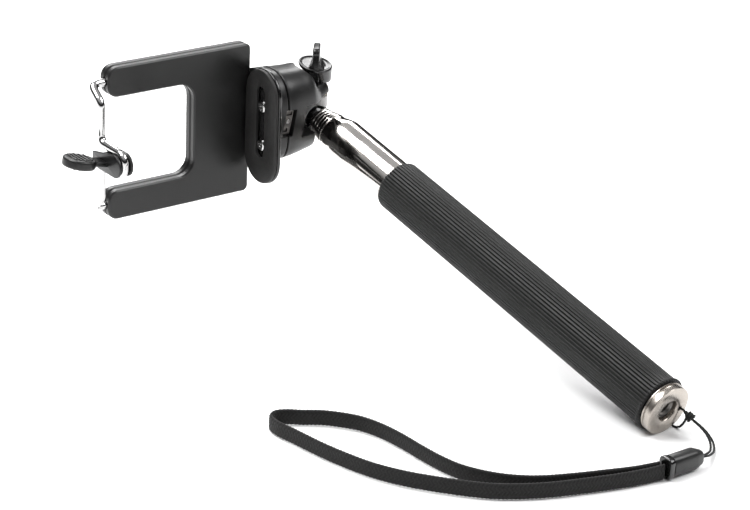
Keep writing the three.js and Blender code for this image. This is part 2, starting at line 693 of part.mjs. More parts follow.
function buildSprungJaw() {
  const [low, high] = ROD_Z;
  const loop = [
    [ROD_END_X, ROD_Y, high],
    [WIRE_X, ROD_Y, high],
    [WIRE_X, 5.6, 73.2],
    [WIRE_X, 5.6, LOOP_Z + LOOP_RADIUS],
    [WIRE_X, LOOP_TIP_Y, LOOP_Z + LOOP_RADIUS],
    [WIRE_X, LOOP_TIP_Y, LOOP_Z - LOOP_RADIUS],
    [WIRE_X, 5.6, LOOP_Z - LOOP_RADIUS],
    [WIRE_X, 5.6, 38],
    [WIRE_X, ROD_Y, low],
    [ROD_END_X, ROD_Y, low],
  ];
  const path = rounded(loop.map((p) => vec(...p)), 3.4, 4);
  add("wire_jaw", sweep(path, circle(WIRE_RADIUS, 10), vec(0, 1, 0)), "steel", 1, 0.1);

  const tongue = (reach, back, low, high) => {
    const shape = new THREE.Shape();
    shape.moveTo(back, low);
    shape.lineTo(back, high);
    shape.lineTo(reach + 4.1, 58.8);
    shape.absarc(reach + 4.1, 54.7, 4.1, Math.PI / 2, 1.5 * Math.PI, false);
    return shape;
  };
  add("jaw_inner_pad", slab(tongue(-11.2, 3.4, 50.6, 58.8), [-0.5, 0.5]), "rubber", 0, 0.8);
  const plate = slab(tongue(-11.2, 7.0, 50.8, 56.0), [-5.0, -4.1]);
  const boss = slab(roundedBox(-5.2, LOOP_Z - 1.7, 2.4, LOOP_Z + 1.7, 1), [-4.5, -0.7]);
  const tilt = new THREE.Matrix4().makeRotationY(PADDLE_TILT).setPosition(...PADDLE_AT);
  const half = PADDLE_THICKNESS / 2;
  const disc = lathe([
    [0, -half],
    [PADDLE_RADIUS - 0.9, -half],
    [PADDLE_RADIUS, -half + 0.9],
    [PADDLE_RADIUS, half - 0.9],
    [PADDLE_RADIUS - 0.9, half],
    [0, half],
  ], 24).rotateX(Math.PI / 2).applyMatrix4(tilt);
  const neckLine = [vec(-10.6, 0, 55.3), vec(-8.4, 0, 54.7), vec(-6.2, 0, 54.2), vec(-4.6, 0, 54.0)];
  const neckOutline = [[-3.4, -0.8], [3.4, -0.8], [3.4, 0.8], [-3.4, 0.8]];
  const tab = join([plate, boss, disc, sweep(neckLine, neckOutline)]);
  add("jaw_pull_tab", tab, "black", 0, 0.4);

  [["lower", low], ["upper", high]].forEach(([side, z]) => {
    const stop = ring(STOP_RADIUS, WIRE_RADIUS + 0.12, SPRING_X[1] + 0.3, ROD_END_X - 0.2, 16);
    add(`rod_collar_${side}`, alongX(stop, ROD_Y, z), "steel", 1, 0.3);
    const steps = SPRING_COILS * SPRING_STEPS;
    const helix = Array.from({ length: steps + 1 }, (_, i) => {
      const turn = (i / SPRING_STEPS) * 2 * Math.PI;
      const x = SPRING_X[0] + 0.3 + ((SPRING_X[1] - SPRING_X[0] - 0.6) * i) / steps;
      return vec(x, ROD_Y + SPRING_RADIUS * Math.cos(turn), z + SPRING_RADIUS * Math.sin(turn));
    });
    add(`return_spring_${side}`, sweep(helix, circle(SPRING_WIRE, 4), vec(0, 1, 0)), "steel", 1, 0.35);
  });
}

// Strap, ferrule and lanyard, lying on the surface below the grip.
const STRAP_ROUTE = [
  [74.2, -198.2], [66.2, -196.9], [56.6, -194.4], [47.2, -191.3], [38, -188.0], [29.7, -183.9],
  [22.1, -178.8], [15.6, -172.3], [9.6, -165.2], [4.2, -157.6], [-0.4, -148.7], [-4.8, -134.2],
  [-7.6, -119.2], [-8.9, -111.4], [-8.3, -107.4], [-5.6, -105.8], [-2.2, -107], [2, -110.2],
  [6.8, -113.4], [11.2, -117.9], [15, -123.4], [17.4, -130.5], [18.7, -139.1], [19.2, -148.6],
  [20, -157.3], [21.6, -164.3], [24.6, -170.4], [28.4, -175.6], [33, -179.9], [38.5, -183.5],
  [47.8, -187.6], [56.6, -190.9], [66.2, -194.3], [74.2, -196.1],
];
const STRAP_WIDTH = 5.3;
const STRAP_THICKNESS = 1.3;
const STRAP_Z = 3.0;
const STRAP_STEPS = 56;
const FERRULE_Z = 3.8;
const FERRULE_RINGS = [
  [77.1, -197.7, 2.7, 3.5],
  [86.4, -197.9, 2.7, 3.5],
  [88.4, -198.1, 2.3, 3.0],
  [89.6, -198.3, 1.8, 2.2],
];
const LANYARD_RADIUS = 0.4;
const LANYARD_SIDES = 8;
const LANYARD_STEPS = 64;
const KNOT_AT = [101.0, -182.2, 6.9];
const KNOT_RADIUS = 1.75;
const KNOT_PITCH = 0.95;
const KNOT_TURNS = 2;
const KNOT_STEPS = 12;

// The lanyard runs from the ferrule through the knot, in at the cap's face and out at its rim,
// and back through the knot to the ferrule.
const LANYARD_OUT = [
  [86.9, -197.3, 4.0],
  [90.8, -197.9, 3.7],
  [94.8, -196.3, 2.4],
  [99.0, -193.8, 1.5],
  [101.5, -191.0, 2.2],
  [102.3, -188.3, 3.6],
  [102.0, -186.0, 5.0],
  [101.3, -184.3, 6.1],
  [100.9, -183.4, 6.7],
  [100.3, -182.2, 7.4],
  [99.9, -181.2, 8.0],
  [100.4, -179.9, 8.4],
];
const LANYARD_THROUGH = [
  [5.3, -1.7, 0],
  [5.5, 0.4, -0.6],
  [5.58, 1.5, -1.3],
  [5.74, 1.75, -3.3],
  [5.5, 1.75, -6],
  [5.6, 1.7, -7.6],
  [6.1, 0.5, -8.5],
  [6.7, -1.3, -7.6],
];
const LANYARD_BACK = [
  [102.6, -178.9, 4.8],
  [101.9, -179.2, 7.4],
  [101.1, -180.4, 8.0],
  [101.2, -181.9, 7.0],
  [101.8, -183.2, 6.1],
  [102.3, -184.2, 5.5],
  [103.0, -186.1, 4.4],
  [103.3, -188.3, 3.2],
  [102.6, -191.3, 1.9],
  [99.9, -194.5, 1.2],
  [95.3, -197.2, 2.2],
  [91.0, -198.9, 3.7],
  [86.9, -198.3, 4.0],
];

function buildStrap() {
  const [w, t] = [STRAP_WIDTH / 2, STRAP_THICKNESS / 2];
  const route = STRAP_ROUTE.map(([x, y]) => vec(x, y, STRAP_Z));
  add("wrist_strap", cord(route, [[-w, -t], [w, -t], [w, t], [-w, t]], STRAP_STEPS), "web", 0, 0.9);
  const body = FERRULE_RINGS.map(([x, y, halfY, halfZ]) => {
    return circle(1, 20).map(([c, s]) => {
      const square = (v) => Math.sign(v) * Math.abs(v) ** 0.7;
      return vec(x, y + halfY * square(c), FERRULE_Z + halfZ * square(s));
    });
  });
  const cordBore = sweep([vec(86.5, -197.8, 4), vec(92, -198.6, 3.9)], circle(1.35, 12));
  add("strap_ferrule", cut(loft(body), [cordBore]), "black", 0, 0.3);
  const mouth = slab(roundedBox(-200.5, 0.3, -195.0, 7.3, 1.6), [74.9, 76.8]);
  add("ferrule_collar", mouth, "black", 0, 0.25);

  const strand = circle(LANYARD_RADIUS, LANYARD_SIDES);
  const through = LANYARD_THROUGH.map((p) => polePoint(...p));
  const line = [...LANYARD_OUT.map((p) => vec(...p)), ...through, ...LANYARD_BACK.map((p) => vec(...p))];
  add("lanyard", cord(line, strand, LANYARD_STEPS), "web", 0, 0.9);
  const knotAxis = vec(-0.37, 0.79, 0.49);
  const knotSide = vec(0.906, 0.424, 0);
  const knotUp = vec(0.208, -0.444, 0.873);
  const wound = Array.from({ length: KNOT_TURNS * KNOT_STEPS + 1 }, (_, i) => {
    const turn = (i / KNOT_STEPS) * 2 * Math.PI;
    const lift = (i / KNOT_STEPS - KNOT_TURNS / 2) * KNOT_PITCH;
    const out = knotSide.clone().multiplyScalar(KNOT_RADIUS * Math.cos(turn));
    out.addScaledVector(knotUp, KNOT_RADIUS * Math.sin(turn));
    return vec(...KNOT_AT).addScaledVector(knotAxis, lift).add(out);
  });
  add("lanyard_knot", cord(wound, strand, KNOT_TURNS * KNOT_STEPS), "web", 0, 0.9);
}

buildHandle();
buildSections();
buildBall();
buildHead();
buildFixedJaw();
buildFrame();
buildSprungJaw();
buildStrap();

export default root;
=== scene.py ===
"""Selfie stick: the looks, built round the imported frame.

Shapes are drawn in the stand frame, in millimetres: X across the clamp from the wire jaw to the fixed jaw,
Y away from the grip, Z up from the surface the stick lies on. place() brings them into the part's frame."""

import math

import bmesh
import bpy
from mathutils import Matrix, Vector


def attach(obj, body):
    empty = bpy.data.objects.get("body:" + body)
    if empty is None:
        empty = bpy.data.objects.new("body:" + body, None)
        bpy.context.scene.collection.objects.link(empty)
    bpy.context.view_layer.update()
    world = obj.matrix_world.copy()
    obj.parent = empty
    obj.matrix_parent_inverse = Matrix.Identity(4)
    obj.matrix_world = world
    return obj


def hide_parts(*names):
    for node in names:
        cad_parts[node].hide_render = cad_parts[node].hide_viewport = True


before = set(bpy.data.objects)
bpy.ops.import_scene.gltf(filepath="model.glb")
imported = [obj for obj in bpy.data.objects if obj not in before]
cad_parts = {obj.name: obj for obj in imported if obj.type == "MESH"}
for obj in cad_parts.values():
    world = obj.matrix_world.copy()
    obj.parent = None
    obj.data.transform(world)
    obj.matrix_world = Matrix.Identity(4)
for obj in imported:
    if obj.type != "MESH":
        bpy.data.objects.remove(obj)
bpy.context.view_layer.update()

scene = bpy.context.scene
TURN = 2 * math.pi

# The stand frame's zero is moved to the middle of the grip, and millimetres become metres.
ORIGIN = Vector((93.08, -105.74, 25.49))
TO_FRAME = Matrix.Scale(0.001, 4) @ Matrix.Translation(-ORIGIN)
FLOOR_Z = -ORIGIN.z / 1000

POLE_FOOT = Vector((95.9, -177.2, 8.5))
ALONG = Vector((-0.0383, 0.9722, 0.2311)).normalized()
ACROSS = -Vector((0, 0, 1)).cross(ALONG).normalized()
UPWARD = ACROSS.cross(ALONG)
POLE = Matrix((
    (ACROSS.x, ALONG.x, UPWARD.x, POLE_FOOT.x),
    (ACROSS.y, ALONG.y, UPWARD.y, POLE_FOOT.y),
    (ACROSS.z, ALONG.z, UPWARD.z, POLE_FOOT.z),
    (0, 0, 0, 1),
))
BALL_AT, BALL_RADIUS, BALL_ROOM = 189.9, 4.75, 5.7
BALL = POLE @ Vector((0, BALL_AT, 0))
# A lathe turns round Y: these stand its axis along X or up Z.
ALONG_X = Matrix.Rotation(-math.pi / 2, 4, "Z")
UP_Z = Matrix.Rotation(math.pi / 2, 4, "X")


# ---------------------------------------------------------------- camera, light and floor

CAMERA_AT = (-0.4512, -0.49245, 0.29258)
CAMERA_FORWARD = Vector((0.5706, 0.72153, -0.39218)).normalized()
CAMERA_RIGHT = Vector((0.79528, -0.60458, 0.04479))
CAMERA_LENS, CAMERA_SENSOR = 103.916, 36
FLOOR_HALF = 4
FLOOR_GREY = 0.93
# Grey of the surroundings from straight down (0) to straight up (1): dark just above the horizon.
SKY_ENDS = (0.5, 0.55)
SKY_STOPS = ((0.49, 0.5), (0.515, 0.03), (0.60, 0.02), (0.70, 0.16), (0.80, 0.5))
SKY_BLUE = 1.01
# Area lights: name, place, aim and size in metres, and power in watts.
LIGHTS = (
    ("key", (-0.45, 0.35, 1.0), (0, 0, 0), (0.9, 0.6), 18.5),
    ("fill", (0.6, -0.5, 0.9), (0, 0, 0), (0.7, 0.7), 9.5),
    ("back", (0.4, 1.0, 0.7), (0, 0.1, 0.02), (1.0, 0.4), 9.5),
)


def build_camera():
    data = bpy.data.cameras.new("view")
    data.sensor_width = CAMERA_SENSOR
    data.lens = CAMERA_LENS
    data.clip_start = 0.01
    data.clip_end = 20
    camera = bpy.data.objects.new("view", data)
    scene.collection.objects.link(camera)
    right = (CAMERA_RIGHT - CAMERA_FORWARD * CAMERA_RIGHT.dot(CAMERA_FORWARD)).normalized()
    turn = Matrix((right, right.cross(CAMERA_FORWARD), -CAMERA_FORWARD)).transposed()
    camera.matrix_world = Matrix.Translation(CAMERA_AT) @ turn.to_4x4()
    scene.camera = camera


def soft_box(name, at, aim, size, power):
    data = bpy.data.lights.new(name, "AREA")
    data.shape = "RECTANGLE"
    data.size, data.size_y = size
    data.energy = power
    lamp = bpy.data.objects.new(name, data)
    scene.collection.objects.link(lamp)
    lamp.location = at
    lamp.rotation_euler = (Vector(aim) - Vector(at)).to_track_quat("-Z", "Y").to_euler()


def build_studio():
    scene.view_settings.view_transform = "Standard"
    world = bpy.data.worlds.new("studio")
    scene.world = world
    world.use_nodes = True
    tree = world.node_tree
    background = tree.nodes["Background"]
    background.inputs["Strength"].default_value = 1.0
    where = tree.nodes.new("ShaderNodeTexCoord")
    split = tree.nodes.new("ShaderNodeSeparateXYZ")
    ramp = tree.nodes.new("ShaderNodeValToRGB")
    tree.links.new(where.outputs["Generated"], split.inputs[0])
    height = tree.nodes.new("ShaderNodeMapRange")
    height.inputs["From Min"].default_value = -1
    height.inputs["From Max"].default_value = 1
    tree.links.new(split.outputs["Z"], height.inputs["Value"])
    tree.links.new(height.outputs[0], ramp.inputs[0])
    tree.links.new(ramp.outputs[0], background.inputs["Color"])
    stops = ramp.color_ramp.elements
    for end, grey in enumerate(SKY_ENDS):
        stops[end].position = end
        stops[end].color = (grey, grey, grey, 1)
    for at, grey in SKY_STOPS:
        stop = stops.new(at)
        stop.color = (grey, grey, grey * SKY_BLUE, 1)
    for light in LIGHTS:
        soft_box(*light)
    mesh = bpy.data.meshes.new("floor")
    corners = [(x * FLOOR_HALF, y * FLOOR_HALF, FLOOR_Z) for x, y in ((-1, -1), (1, -1), (1, 1), (-1, 1))]
    mesh.from_pydata(corners, [], [(0, 1, 2, 3)])
    floor = bpy.data.objects.new("floor", mesh)
    scene.collection.objects.link(floor)
    paint = bpy.data.materials.new("floor")
    paint.use_nodes = True
    shader = paint.node_tree.nodes["Principled BSDF"]
    shader.inputs["Base Color"].default_value = (FLOOR_GREY, FLOOR_GREY, FLOOR_GREY, 1)
    shader.inputs["Roughness"].default_value = 0.55
    mesh.materials.append(paint)


# ---------------------------------------------------------------- materials

NOISE_SPAN = (0.3, 0.7)
STREAK_SHARE = 0.25


def node(tree, kind, **values):
    """A new node with its inputs or properties set by name."""
    made = tree.nodes.new(kind)
    for key, value in values.items():
        if key in made.inputs:
            made.inputs[key].default_value = value
        else:
            setattr(made, key, value)
    return made


def noise(tree, source, stretch, detail):
    """Noise over the source's coordinates, each axis multiplied by stretch."""
    mapping = node(tree, "ShaderNodeMapping", Scale=stretch)
    tree.links.new(source, mapping.inputs["Vector"])
    made = node(tree, "ShaderNodeTexNoise", Scale=1.0, Detail=detail)
    tree.links.new(mapping.outputs[0], made.inputs["Vector"])
    return made.outputs[0]


def spread(tree, value, low, high):
    """Maps the span that noise really fills to low and high."""
    made = node(tree, "ShaderNodeMapRange")
    made.inputs["From Min"].default_value, made.inputs["From Max"].default_value = NOISE_SPAN
    made.inputs["To Min"].default_value = low
    made.inputs["To Max"].default_value = high
    tree.links.new(value, made.inputs["Value"])
    return made.outputs[0]


def blend_colours(tree, share, one, two):
    mix = tree.nodes.new("ShaderNodeMix")
    mix.data_type = "RGBA"
    tree.links.new(share, mix.inputs["Factor"])
    for socket, colour in ((mix.inputs[6], one), (mix.inputs[7], two)):
        socket.default_value = (*colour, 1)
    return mix.outputs[2]


def bump(tree, height, distance, after=None):
    made = node(tree, "ShaderNodeBump", Distance=distance, Strength=1.0)
    tree.links.new(height, made.inputs["Height"])
    if after is not None:
        tree.links.new(after, made.inputs["Normal"])
    return made.outputs[0]


def material(name, colours, rough, metal=0.0, grain=(9000, 0.00001), streak=None, blotch=120.0,
             use_uv=False, coat=0.0, gloss=0.5):
    """Base colour between two tones, roughness between two values, and bump from grain and streaks.

    grain is (scale per metre, height in metres); streak is (stretch per axis, height in metres)."""
    made = bpy.data.materials.new(name)
    made.use_nodes = True
    tree = made.node_tree
    shader = tree.nodes["Principled BSDF"]
    shader.inputs["Metallic"].default_value = metal
    shader.inputs["Specular IOR Level"].default_value = gloss
    shader.inputs["Coat Weight"].default_value = coat
    where = tree.nodes.new("ShaderNodeTexCoord")
    position = where.outputs["Object"]
    patches = noise(tree, position, (blotch,) * 3, 4.0)
    fine = noise(tree, position, (grain[0],) * 3, 2.0)
    normal = bump(tree, fine, grain[1])
    share = spread(tree, patches, 0, 1)
    worn = spread(tree, patches, rough[0], rough[1])
    if streak is not None:
        lines = noise(tree, where.outputs["UV"] if use_uv else position, streak[0], 3.0)
        normal = bump(tree, lines, streak[1], after=normal)
        add = node(tree, "ShaderNodeMath", operation="MULTIPLY_ADD")
        tree.links.new(spread(tree, lines, -1, 1), add.inputs[0])
        add.inputs[1].default_value = STREAK_SHARE * (rough[1] - rough[0])
        tree.links.new(worn, add.inputs[2])
        worn = add.outputs[0]
    tree.links.new(blend_colours(tree, share, *colours), shader.inputs["Base Color"])
    tree.links.new(worn, shader.inputs["Roughness"])
    tree.links.new(normal, shader.inputs["Normal"])
    return made


def tone(value, warm=0.0):
    """A grey, pulled from blue towards red by warm."""
    return (value * (1 + warm), value, value * (1 - warm))


CHROME = material("chrome", (tone(0.62, 0.045), tone(0.68, 0.04)), (0.06, 0.13), 1.0,
                  (4000, 0.000001), ((300, 3, 1), 0.0000006), use_uv=True)
BRIGHT_WIRE = material("chrome_wire", (tone(0.54, 0.01), tone(0.62)), (0.05, 0.12), 1.0,
                       (5000, 0.000001), ((2500, 2500, 300), 0.0000006))
NICKEL = material("satin_nickel", (tone(0.33, 0.10), tone(0.40, 0.09)), (0.22, 0.34), 1.0,
                  (6000, 0.000002), ((5500, 2, 1), 0.000004), use_uv=True)
STEEL = material("plain_steel", (tone(0.42, 0.02), tone(0.52, 0.02)), (0.26, 0.40), 1.0,
                 (7000, 0.000003), ((1500, 6000, 1500), 0.000002))
# A darker copy of plain steel: painted shade for steel deep in recesses (the window bracket, the cap's tripod
# thread).
SHADED_STEEL = material("shaded_steel", (tone(0.14, 0.05), tone(0.26, 0.05)), (0.34, 0.5), 1.0,
                      (7000, 0.000004), ((1500, 5000, 1500), 0.000003))
SPRING = material("spring_steel", (tone(0.42), tone(0.55)), (0.3, 0.45), 1.0, (9000, 0.000002))
BRASS = material("turned_brass", ((0.60, 0.44, 0.20), (0.72, 0.55, 0.28)), (0.25, 0.4), 1.0,
                 (7000, 0.000003))
PLASTIC = material("satin_plastic", (tone(0.0045), tone(0.0085)), (0.30, 0.40), 0.0,
                   (5200, 0.000012), ((800, 800, 800), 0.000006), blotch=60, gloss=0.45)
SMOOTH_PLASTIC = material("smooth_plastic", (tone(0.004), tone(0.008)), (0.20, 0.30), 0.0,
                          (4200, 0.000004), ((700, 700, 700), 0.000004), blotch=80)
GLOSS = material("gloss_black", (tone(0.003), tone(0.006)), (0.08, 0.18), 0.0,
                 (3500, 0.000002), ((600, 600, 600), 0.000003), coat=0.25)
RUBBER = material("grip_rubber", (tone(0.0025), tone(0.0065)), (0.44, 0.60), 0.0,
                  (6500, 0.00002), ((2500, 350, 2500), 0.00001), blotch=45, gloss=0.3)
PAD = material("pad_rubber", (tone(0.008, 0.02), tone(0.015, 0.02)), (0.46, 0.6), 0.0,
               (6000, 0.000022), ((900, 900, 900), 0.00001), blotch=90, gloss=0.35)
ACETAL = material("acetal", (tone(0.40, 0.01), tone(0.48, 0.01)), (0.36, 0.5), 0.0, (5000, 0.000006))


def woven(name, colours, across, lengthways):
    """Yarn: its tone follows the 'yarn' colour layer, so grooves get painted shade and crests a painted
    highlight; fibres run slantwise on each yarn by the weave's own UV (along, across).
    """
    made = bpy.data.materials.new(name)
    made.use_nodes = True
    tree = made.node_tree
    shader = tree.nodes["Principled BSDF"]
    shader.inputs["Sheen Weight"].default_value = 0.06
    shader.inputs["Sheen Roughness"].default_value = 0.5
    shader.inputs["Specular IOR Level"].default_value = 0.3
    where = tree.nodes.new("ShaderNodeTexCoord")
    fibres = noise(tree, where.outputs["UV"], (lengthways, across, 1), 3.0)
    hairs = noise(tree, where.outputs["Object"], (16000, 16000, 16000), 2.0)
    # The 'yarn' layer sets the tone: painted shade in the grooves between yarns, painted highlight on their
    # crests.
    height = tree.nodes.new("ShaderNodeVertexColor")
    height.layer_name = "yarn"
    normal = bump(tree, hairs, 0.00004, after=bump(tree, fibres, 0.00005))
    rough = spread(tree, fibres, 0.55, 0.85)
    tree.links.new(blend_colours(tree, height.outputs[0], *colours), shader.inputs["Base Color"])
    tree.links.new(rough, shader.inputs["Roughness"])
    tree.links.new(normal, shader.inputs["Normal"])
    return made


# Of the two tones, the darker is painted shade in the grooves and the lighter a painted highlight on the
# crests.
WEBBING = woven("braided_web", (tone(0.0015), tone(0.0095, 0.03)), 14, 5200)
CORD = woven("twisted_cord", (tone(0.0015), tone(0.009)), 10, 4200)


# ---------------------------------------------------------------- mesh tools, in millimetres

def raw(name, points, faces, corners=None, shades=None):
    """An object from points and faces, welded and facing outwards.

    corners holds a UV pair per face corner, and shades one tone per point."""
    mesh = bpy.data.meshes.new(name)
    mesh.from_pydata([tuple(p) for p in points], [], faces)
    if corners is not None:
        layer = mesh.uv_layers.new(name="turned")
        flat = [value for face in corners for pair in face for value in pair]
        layer.data.foreach_set("uv", flat)
    if shades is not None:
        layer = mesh.color_attributes.new("yarn", "FLOAT_COLOR", "POINT")
        layer.data.foreach_set("color", [v for shade in shades for v in (shade, shade, shade, 1)])
    shape = bmesh.new()
    shape.from_mesh(mesh)
    bmesh.ops.remove_doubles(shape, verts=shape.verts, dist=1e-4)
    bmesh.ops.recalc_face_normals(shape, faces=shape.faces)
    shape.to_mesh(mesh)
    shape.free()
    made = bpy.data.objects.new(name, mesh)
    scene.collection.objects.link(made)
    return made


def settle(made):
    """Replaces the object's mesh by what its modifiers make of it."""
    bpy.context.view_layer.update()
    ready = made.evaluated_get(bpy.context.evaluated_depsgraph_get())
    mesh = bpy.data.meshes.new_from_object(ready)
    made.modifiers.clear()
    made.data = mesh


def combine(made, tool, how):
    step = made.modifiers.new(how.lower(), "BOOLEAN")
    step.operation = how
    step.solver = "EXACT"
    step.object = tool
    settle(made)
    bpy.data.objects.remove(tool)


def carve(made, tools):
    for tool in tools:
        combine(made, tool, "DIFFERENCE")


def soften(made, width, segments=2, angle=40):
    step = made.modifiers.new("soften", "BEVEL")
    step.width = width
    step.segments = segments
    step.limit_method = "ANGLE"
    step.angle_limit = math.radians(angle)
    step.use_clamp_overlap = True
    settle(made)


def place(made, look, body, nodes, angle=35):
    """Brings a shape into the part's frame, gives it its material and body, and hides the CAD nodes it stands
    in for.
    """
    made.data.transform(TO_FRAME)
    made.data.shade_smooth()
    made.data.set_sharp_from_angle(angle=math.radians(angle))
    made.data.materials.clear()
    made.data.materials.append(look)
    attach(made, body)
    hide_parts(*nodes)
    return made


def rounded_profile(points, radius, steps=4, closed=False):
    """Polyline with its inner corners rounded."""
    count = len(points)
    line = [] if closed else [points[0]]
    for k in range(count) if closed else range(1, count - 1):
        at = Vector(points[k])
        into = Vector(points[k - 1]) - at
        out = Vector(points[(k + 1) % count]) - at
        if into.length < 1e-6 or out.length < 1e-6 or into.angle(out) > math.radians(175):
            line.append(tuple(at))
            continue
        reach = min(radius, into.length * 0.45, out.length * 0.45)
        start, end = at + into.normalized() * reach, at + out.normalized() * reach
        for i in range(steps + 1):
            t = i / steps
            line.append(tuple(start * (1 - t) ** 2 + at * 2 * t * (1 - t) + end * t * t))
    if closed:
        line.append(line[0])
    else:
        line.append(points[-1])
    return line


def lathe(name, profile, matrix, sides=96, ripple=None):
    """Turns [radius, height] points round the matrix's Y axis. A closed profile ends where it began."""
    points, rings = [], []
    for radius, height in profile:
        if radius < 1e-6:
            rings.append([len(points)] * sides)
            points.append(matrix @ Vector((0, height, 0)))
            continue
        rings.append(list(range(len(points), len(points) + sides)))
        for i in range(sides):
            turn = TURN * i / sides
            reach = radius if ripple is None else ripple(radius, height, turn)
            points.append(matrix @ Vector((reach * math.cos(turn), height, reach * math.sin(turn))))
    faces, corners, run = [], [], 0.0
    for k in range(len(profile) - 1):
        (r0, h0), (r1, h1) = profile[k], profile[k + 1]
        ahead = run + math.hypot(r1 - r0, h1 - h0) / 10
        for i in range(sides):
            j = (i + 1) % sides
            quad = [rings[k][i], rings[k + 1][i], rings[k + 1][j], rings[k][j]]
            uv = [(run, i / sides), (ahead, i / sides), (ahead, (i + 1) / sides), (run, (i + 1) / sides)]
            seen, face, pair = set(), [], []
            for q, u in zip(quad, uv):
                if q not in seen:
                    seen.add(q)
                    face.append(q)
                    pair.append(u)
            if len(face) > 2:
                faces.append(face)
                corners.append(pair)
        run = ahead
    return raw(name, points, faces, corners)


def loft(name, rings):
    """Skin over closed rings of equal count, with a flat face on each end."""
    count = len(rings[0])
    points = [p for ring in rings for p in ring]
    faces = []
    for k in range(len(rings) - 1):
        for i in range(count):
            j = (i + 1) % count
            faces.append([k * count + i, k * count + j, (k + 1) * count + j, (k + 1) * count + i])
    faces.append(list(range(count))[::-1])
    faces.append(list(range((len(rings) - 1) * count, len(rings) * count)))
    return raw(name, points, faces)


def prism(name, outline, start, end, axis="X"):
    """A flat outline pushed along one axis. It is (y, z) along X, (x, z) along Y and (x, y) along Z."""
    turned = {
        "X": lambda a, b, c: Vector((c, a, b)),
        "Y": lambda a, b, c: Vector((a, c, b)),
        "Z": lambda a, b, c: Vector((a, b, c)),
    }[axis]
    return loft(name, [[turned(a, b, at) for a, b in outline] for at in (start, end)])


def arc(x, y, radius, start, end, steps):
    return [(x + radius * math.cos(start + (end - start) * i / steps),
             y + radius * math.sin(start + (end - start) * i / steps)) for i in range(steps + 1)]


def rounded_box(left, low, right, high, radius, steps=6):
    quarter = math.pi / 2
    return (arc(right - radius, low + radius, radius, -quarter, 0, steps)
            + arc(right - radius, high - radius, radius, 0, quarter, steps)
            + arc(left + radius, high - radius, radius, quarter, 2 * quarter, steps)
            + arc(left + radius, low + radius, radius, 2 * quarter, 3 * quarter, steps))


def stadium(y, low, high, radius, steps=24):
    return arc(y, high, radius, 0, math.pi, steps) + arc(y, low, radius, math.pi, TURN, steps)


def spline(points, spacing):
    """Centripetal Catmull-Rom line through the points, resampled at an even spacing."""
    knots = [Vector(p) for p in points]
    knots = [knots[0] * 2 - knots[1]] + knots + [knots[-1] * 2 - knots[-2]]
    dense = []
    for p0, p1, p2, p3 in zip(knots, knots[1:], knots[2:], knots[3:]):
        d0, d1, d2 = (math.sqrt((b - a).length) for a, b in ((p0, p1), (p1, p2), (p2, p3)))
        m1 = ((p1 - p0) / d0 - (p2 - p0) / (d0 + d1) + (p2 - p1) / d1) * d1
        m2 = ((p2 - p1) / d1 - (p3 - p1) / (d1 + d2) + (p3 - p2) / d2) * d1
        for i in range(40):
            t = i / 40
            dense.append(p1 * (2 * t ** 3 - 3 * t ** 2 + 1) + m1 * (t ** 3 - 2 * t ** 2 + t)
                         + p2 * (3 * t ** 2 - 2 * t ** 3) + m2 * (t ** 3 - t ** 2))
    dense.append(knots[-2])
    runs = [0.0]
    for a, b in zip(dense, dense[1:]):
        runs.append(runs[-1] + (b - a).length)
    count = max(2, round(runs[-1] / spacing))
    line, k = [], 0
    for i in range(count + 1):
        want = runs[-1] * i / count
        while k < len(dense) - 2 and runs[k + 1] < want:
            k += 1
        share = (want - runs[k]) / max(runs[k + 1] - runs[k], 1e-9)
        line.append(dense[k].lerp(dense[k + 1], min(max(share, 0), 1)))
    return line, runs[-1]


def round_section(radius, sides, shade=0, around=0):
    """A circle for swept(); around is how far its UV runs round it."""
    section = []
    for i in range(sides):
        turn = TURN * i / sides
        section.append((radius * math.cos(turn), radius * math.sin(turn), shade, around * i / sides))
    return section


def swept(name, line, outline, up):
    """A section carried along a line. outline(run) gives (sideways, upwards, shade, across) points."""
    normal = Vector(up)
    points, shades, sections, run = [], [], [], 0.0
    for k, p in enumerate(line):
        tangent = (line[min(k + 1, len(line) - 1)] - line[max(k - 1, 0)]).normalized()
        normal = (normal - tangent * normal.dot(tangent)).normalized()
        side = tangent.cross(normal)
        run += (p - line[k - 1]).length if k else 0
        section = outline(run)
        for s, t, shade, _ in section:
            points.append(p + side * s + normal * t)
            shades.append(shade)
        sections.append((run, section))
    count = len(sections[0][1])
    faces, corners = [], []
    for k in range(len(line) - 1):
        (r0, one), (r1, _) = sections[k], sections[k + 1]
        for i in range(count):
            j = (i + 1) % count
            faces.append([k * count + i, k * count + j, (k + 1) * count + j, (k + 1) * count + i])
            v0, v1 = one[i][3], one[j][3] if j else 1.0
            corners.append([(r0 / 1000, v0), (r0 / 1000, v1), (r1 / 1000, v1), (r1 / 1000, v0)])
    last = (len(line) - 1) * count
    for ring in (list(range(count))[::-1], list(range(last, last + count))):
        faces.append(ring)
        corners.append([(0, 0)] * count)
    return raw(name, points, faces, corners, shades)


def dress(look, *names):
    """Gives carried-over CAD nodes their material."""
    for name in names:
        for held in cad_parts[name].material_slots:
            held.link = "OBJECT"
            held.material = look


# ---------------------------------------------------------------- handle and pole

GRIP_RIBS = 48
GRIP_START, GRIP_END = 3.6, 139.2
GRIP_RADIUS, GRIP_LIP, GRIP_BORE = 9.27, 9.7, 8.3
RIB_DEPTH = 0.42
CAP_RADIUS, CAP_RIM, CAP_BORE, CAP_PLUG, CAP_DEPTH = 8.85, 3.3, 3.8, 7.3, 15
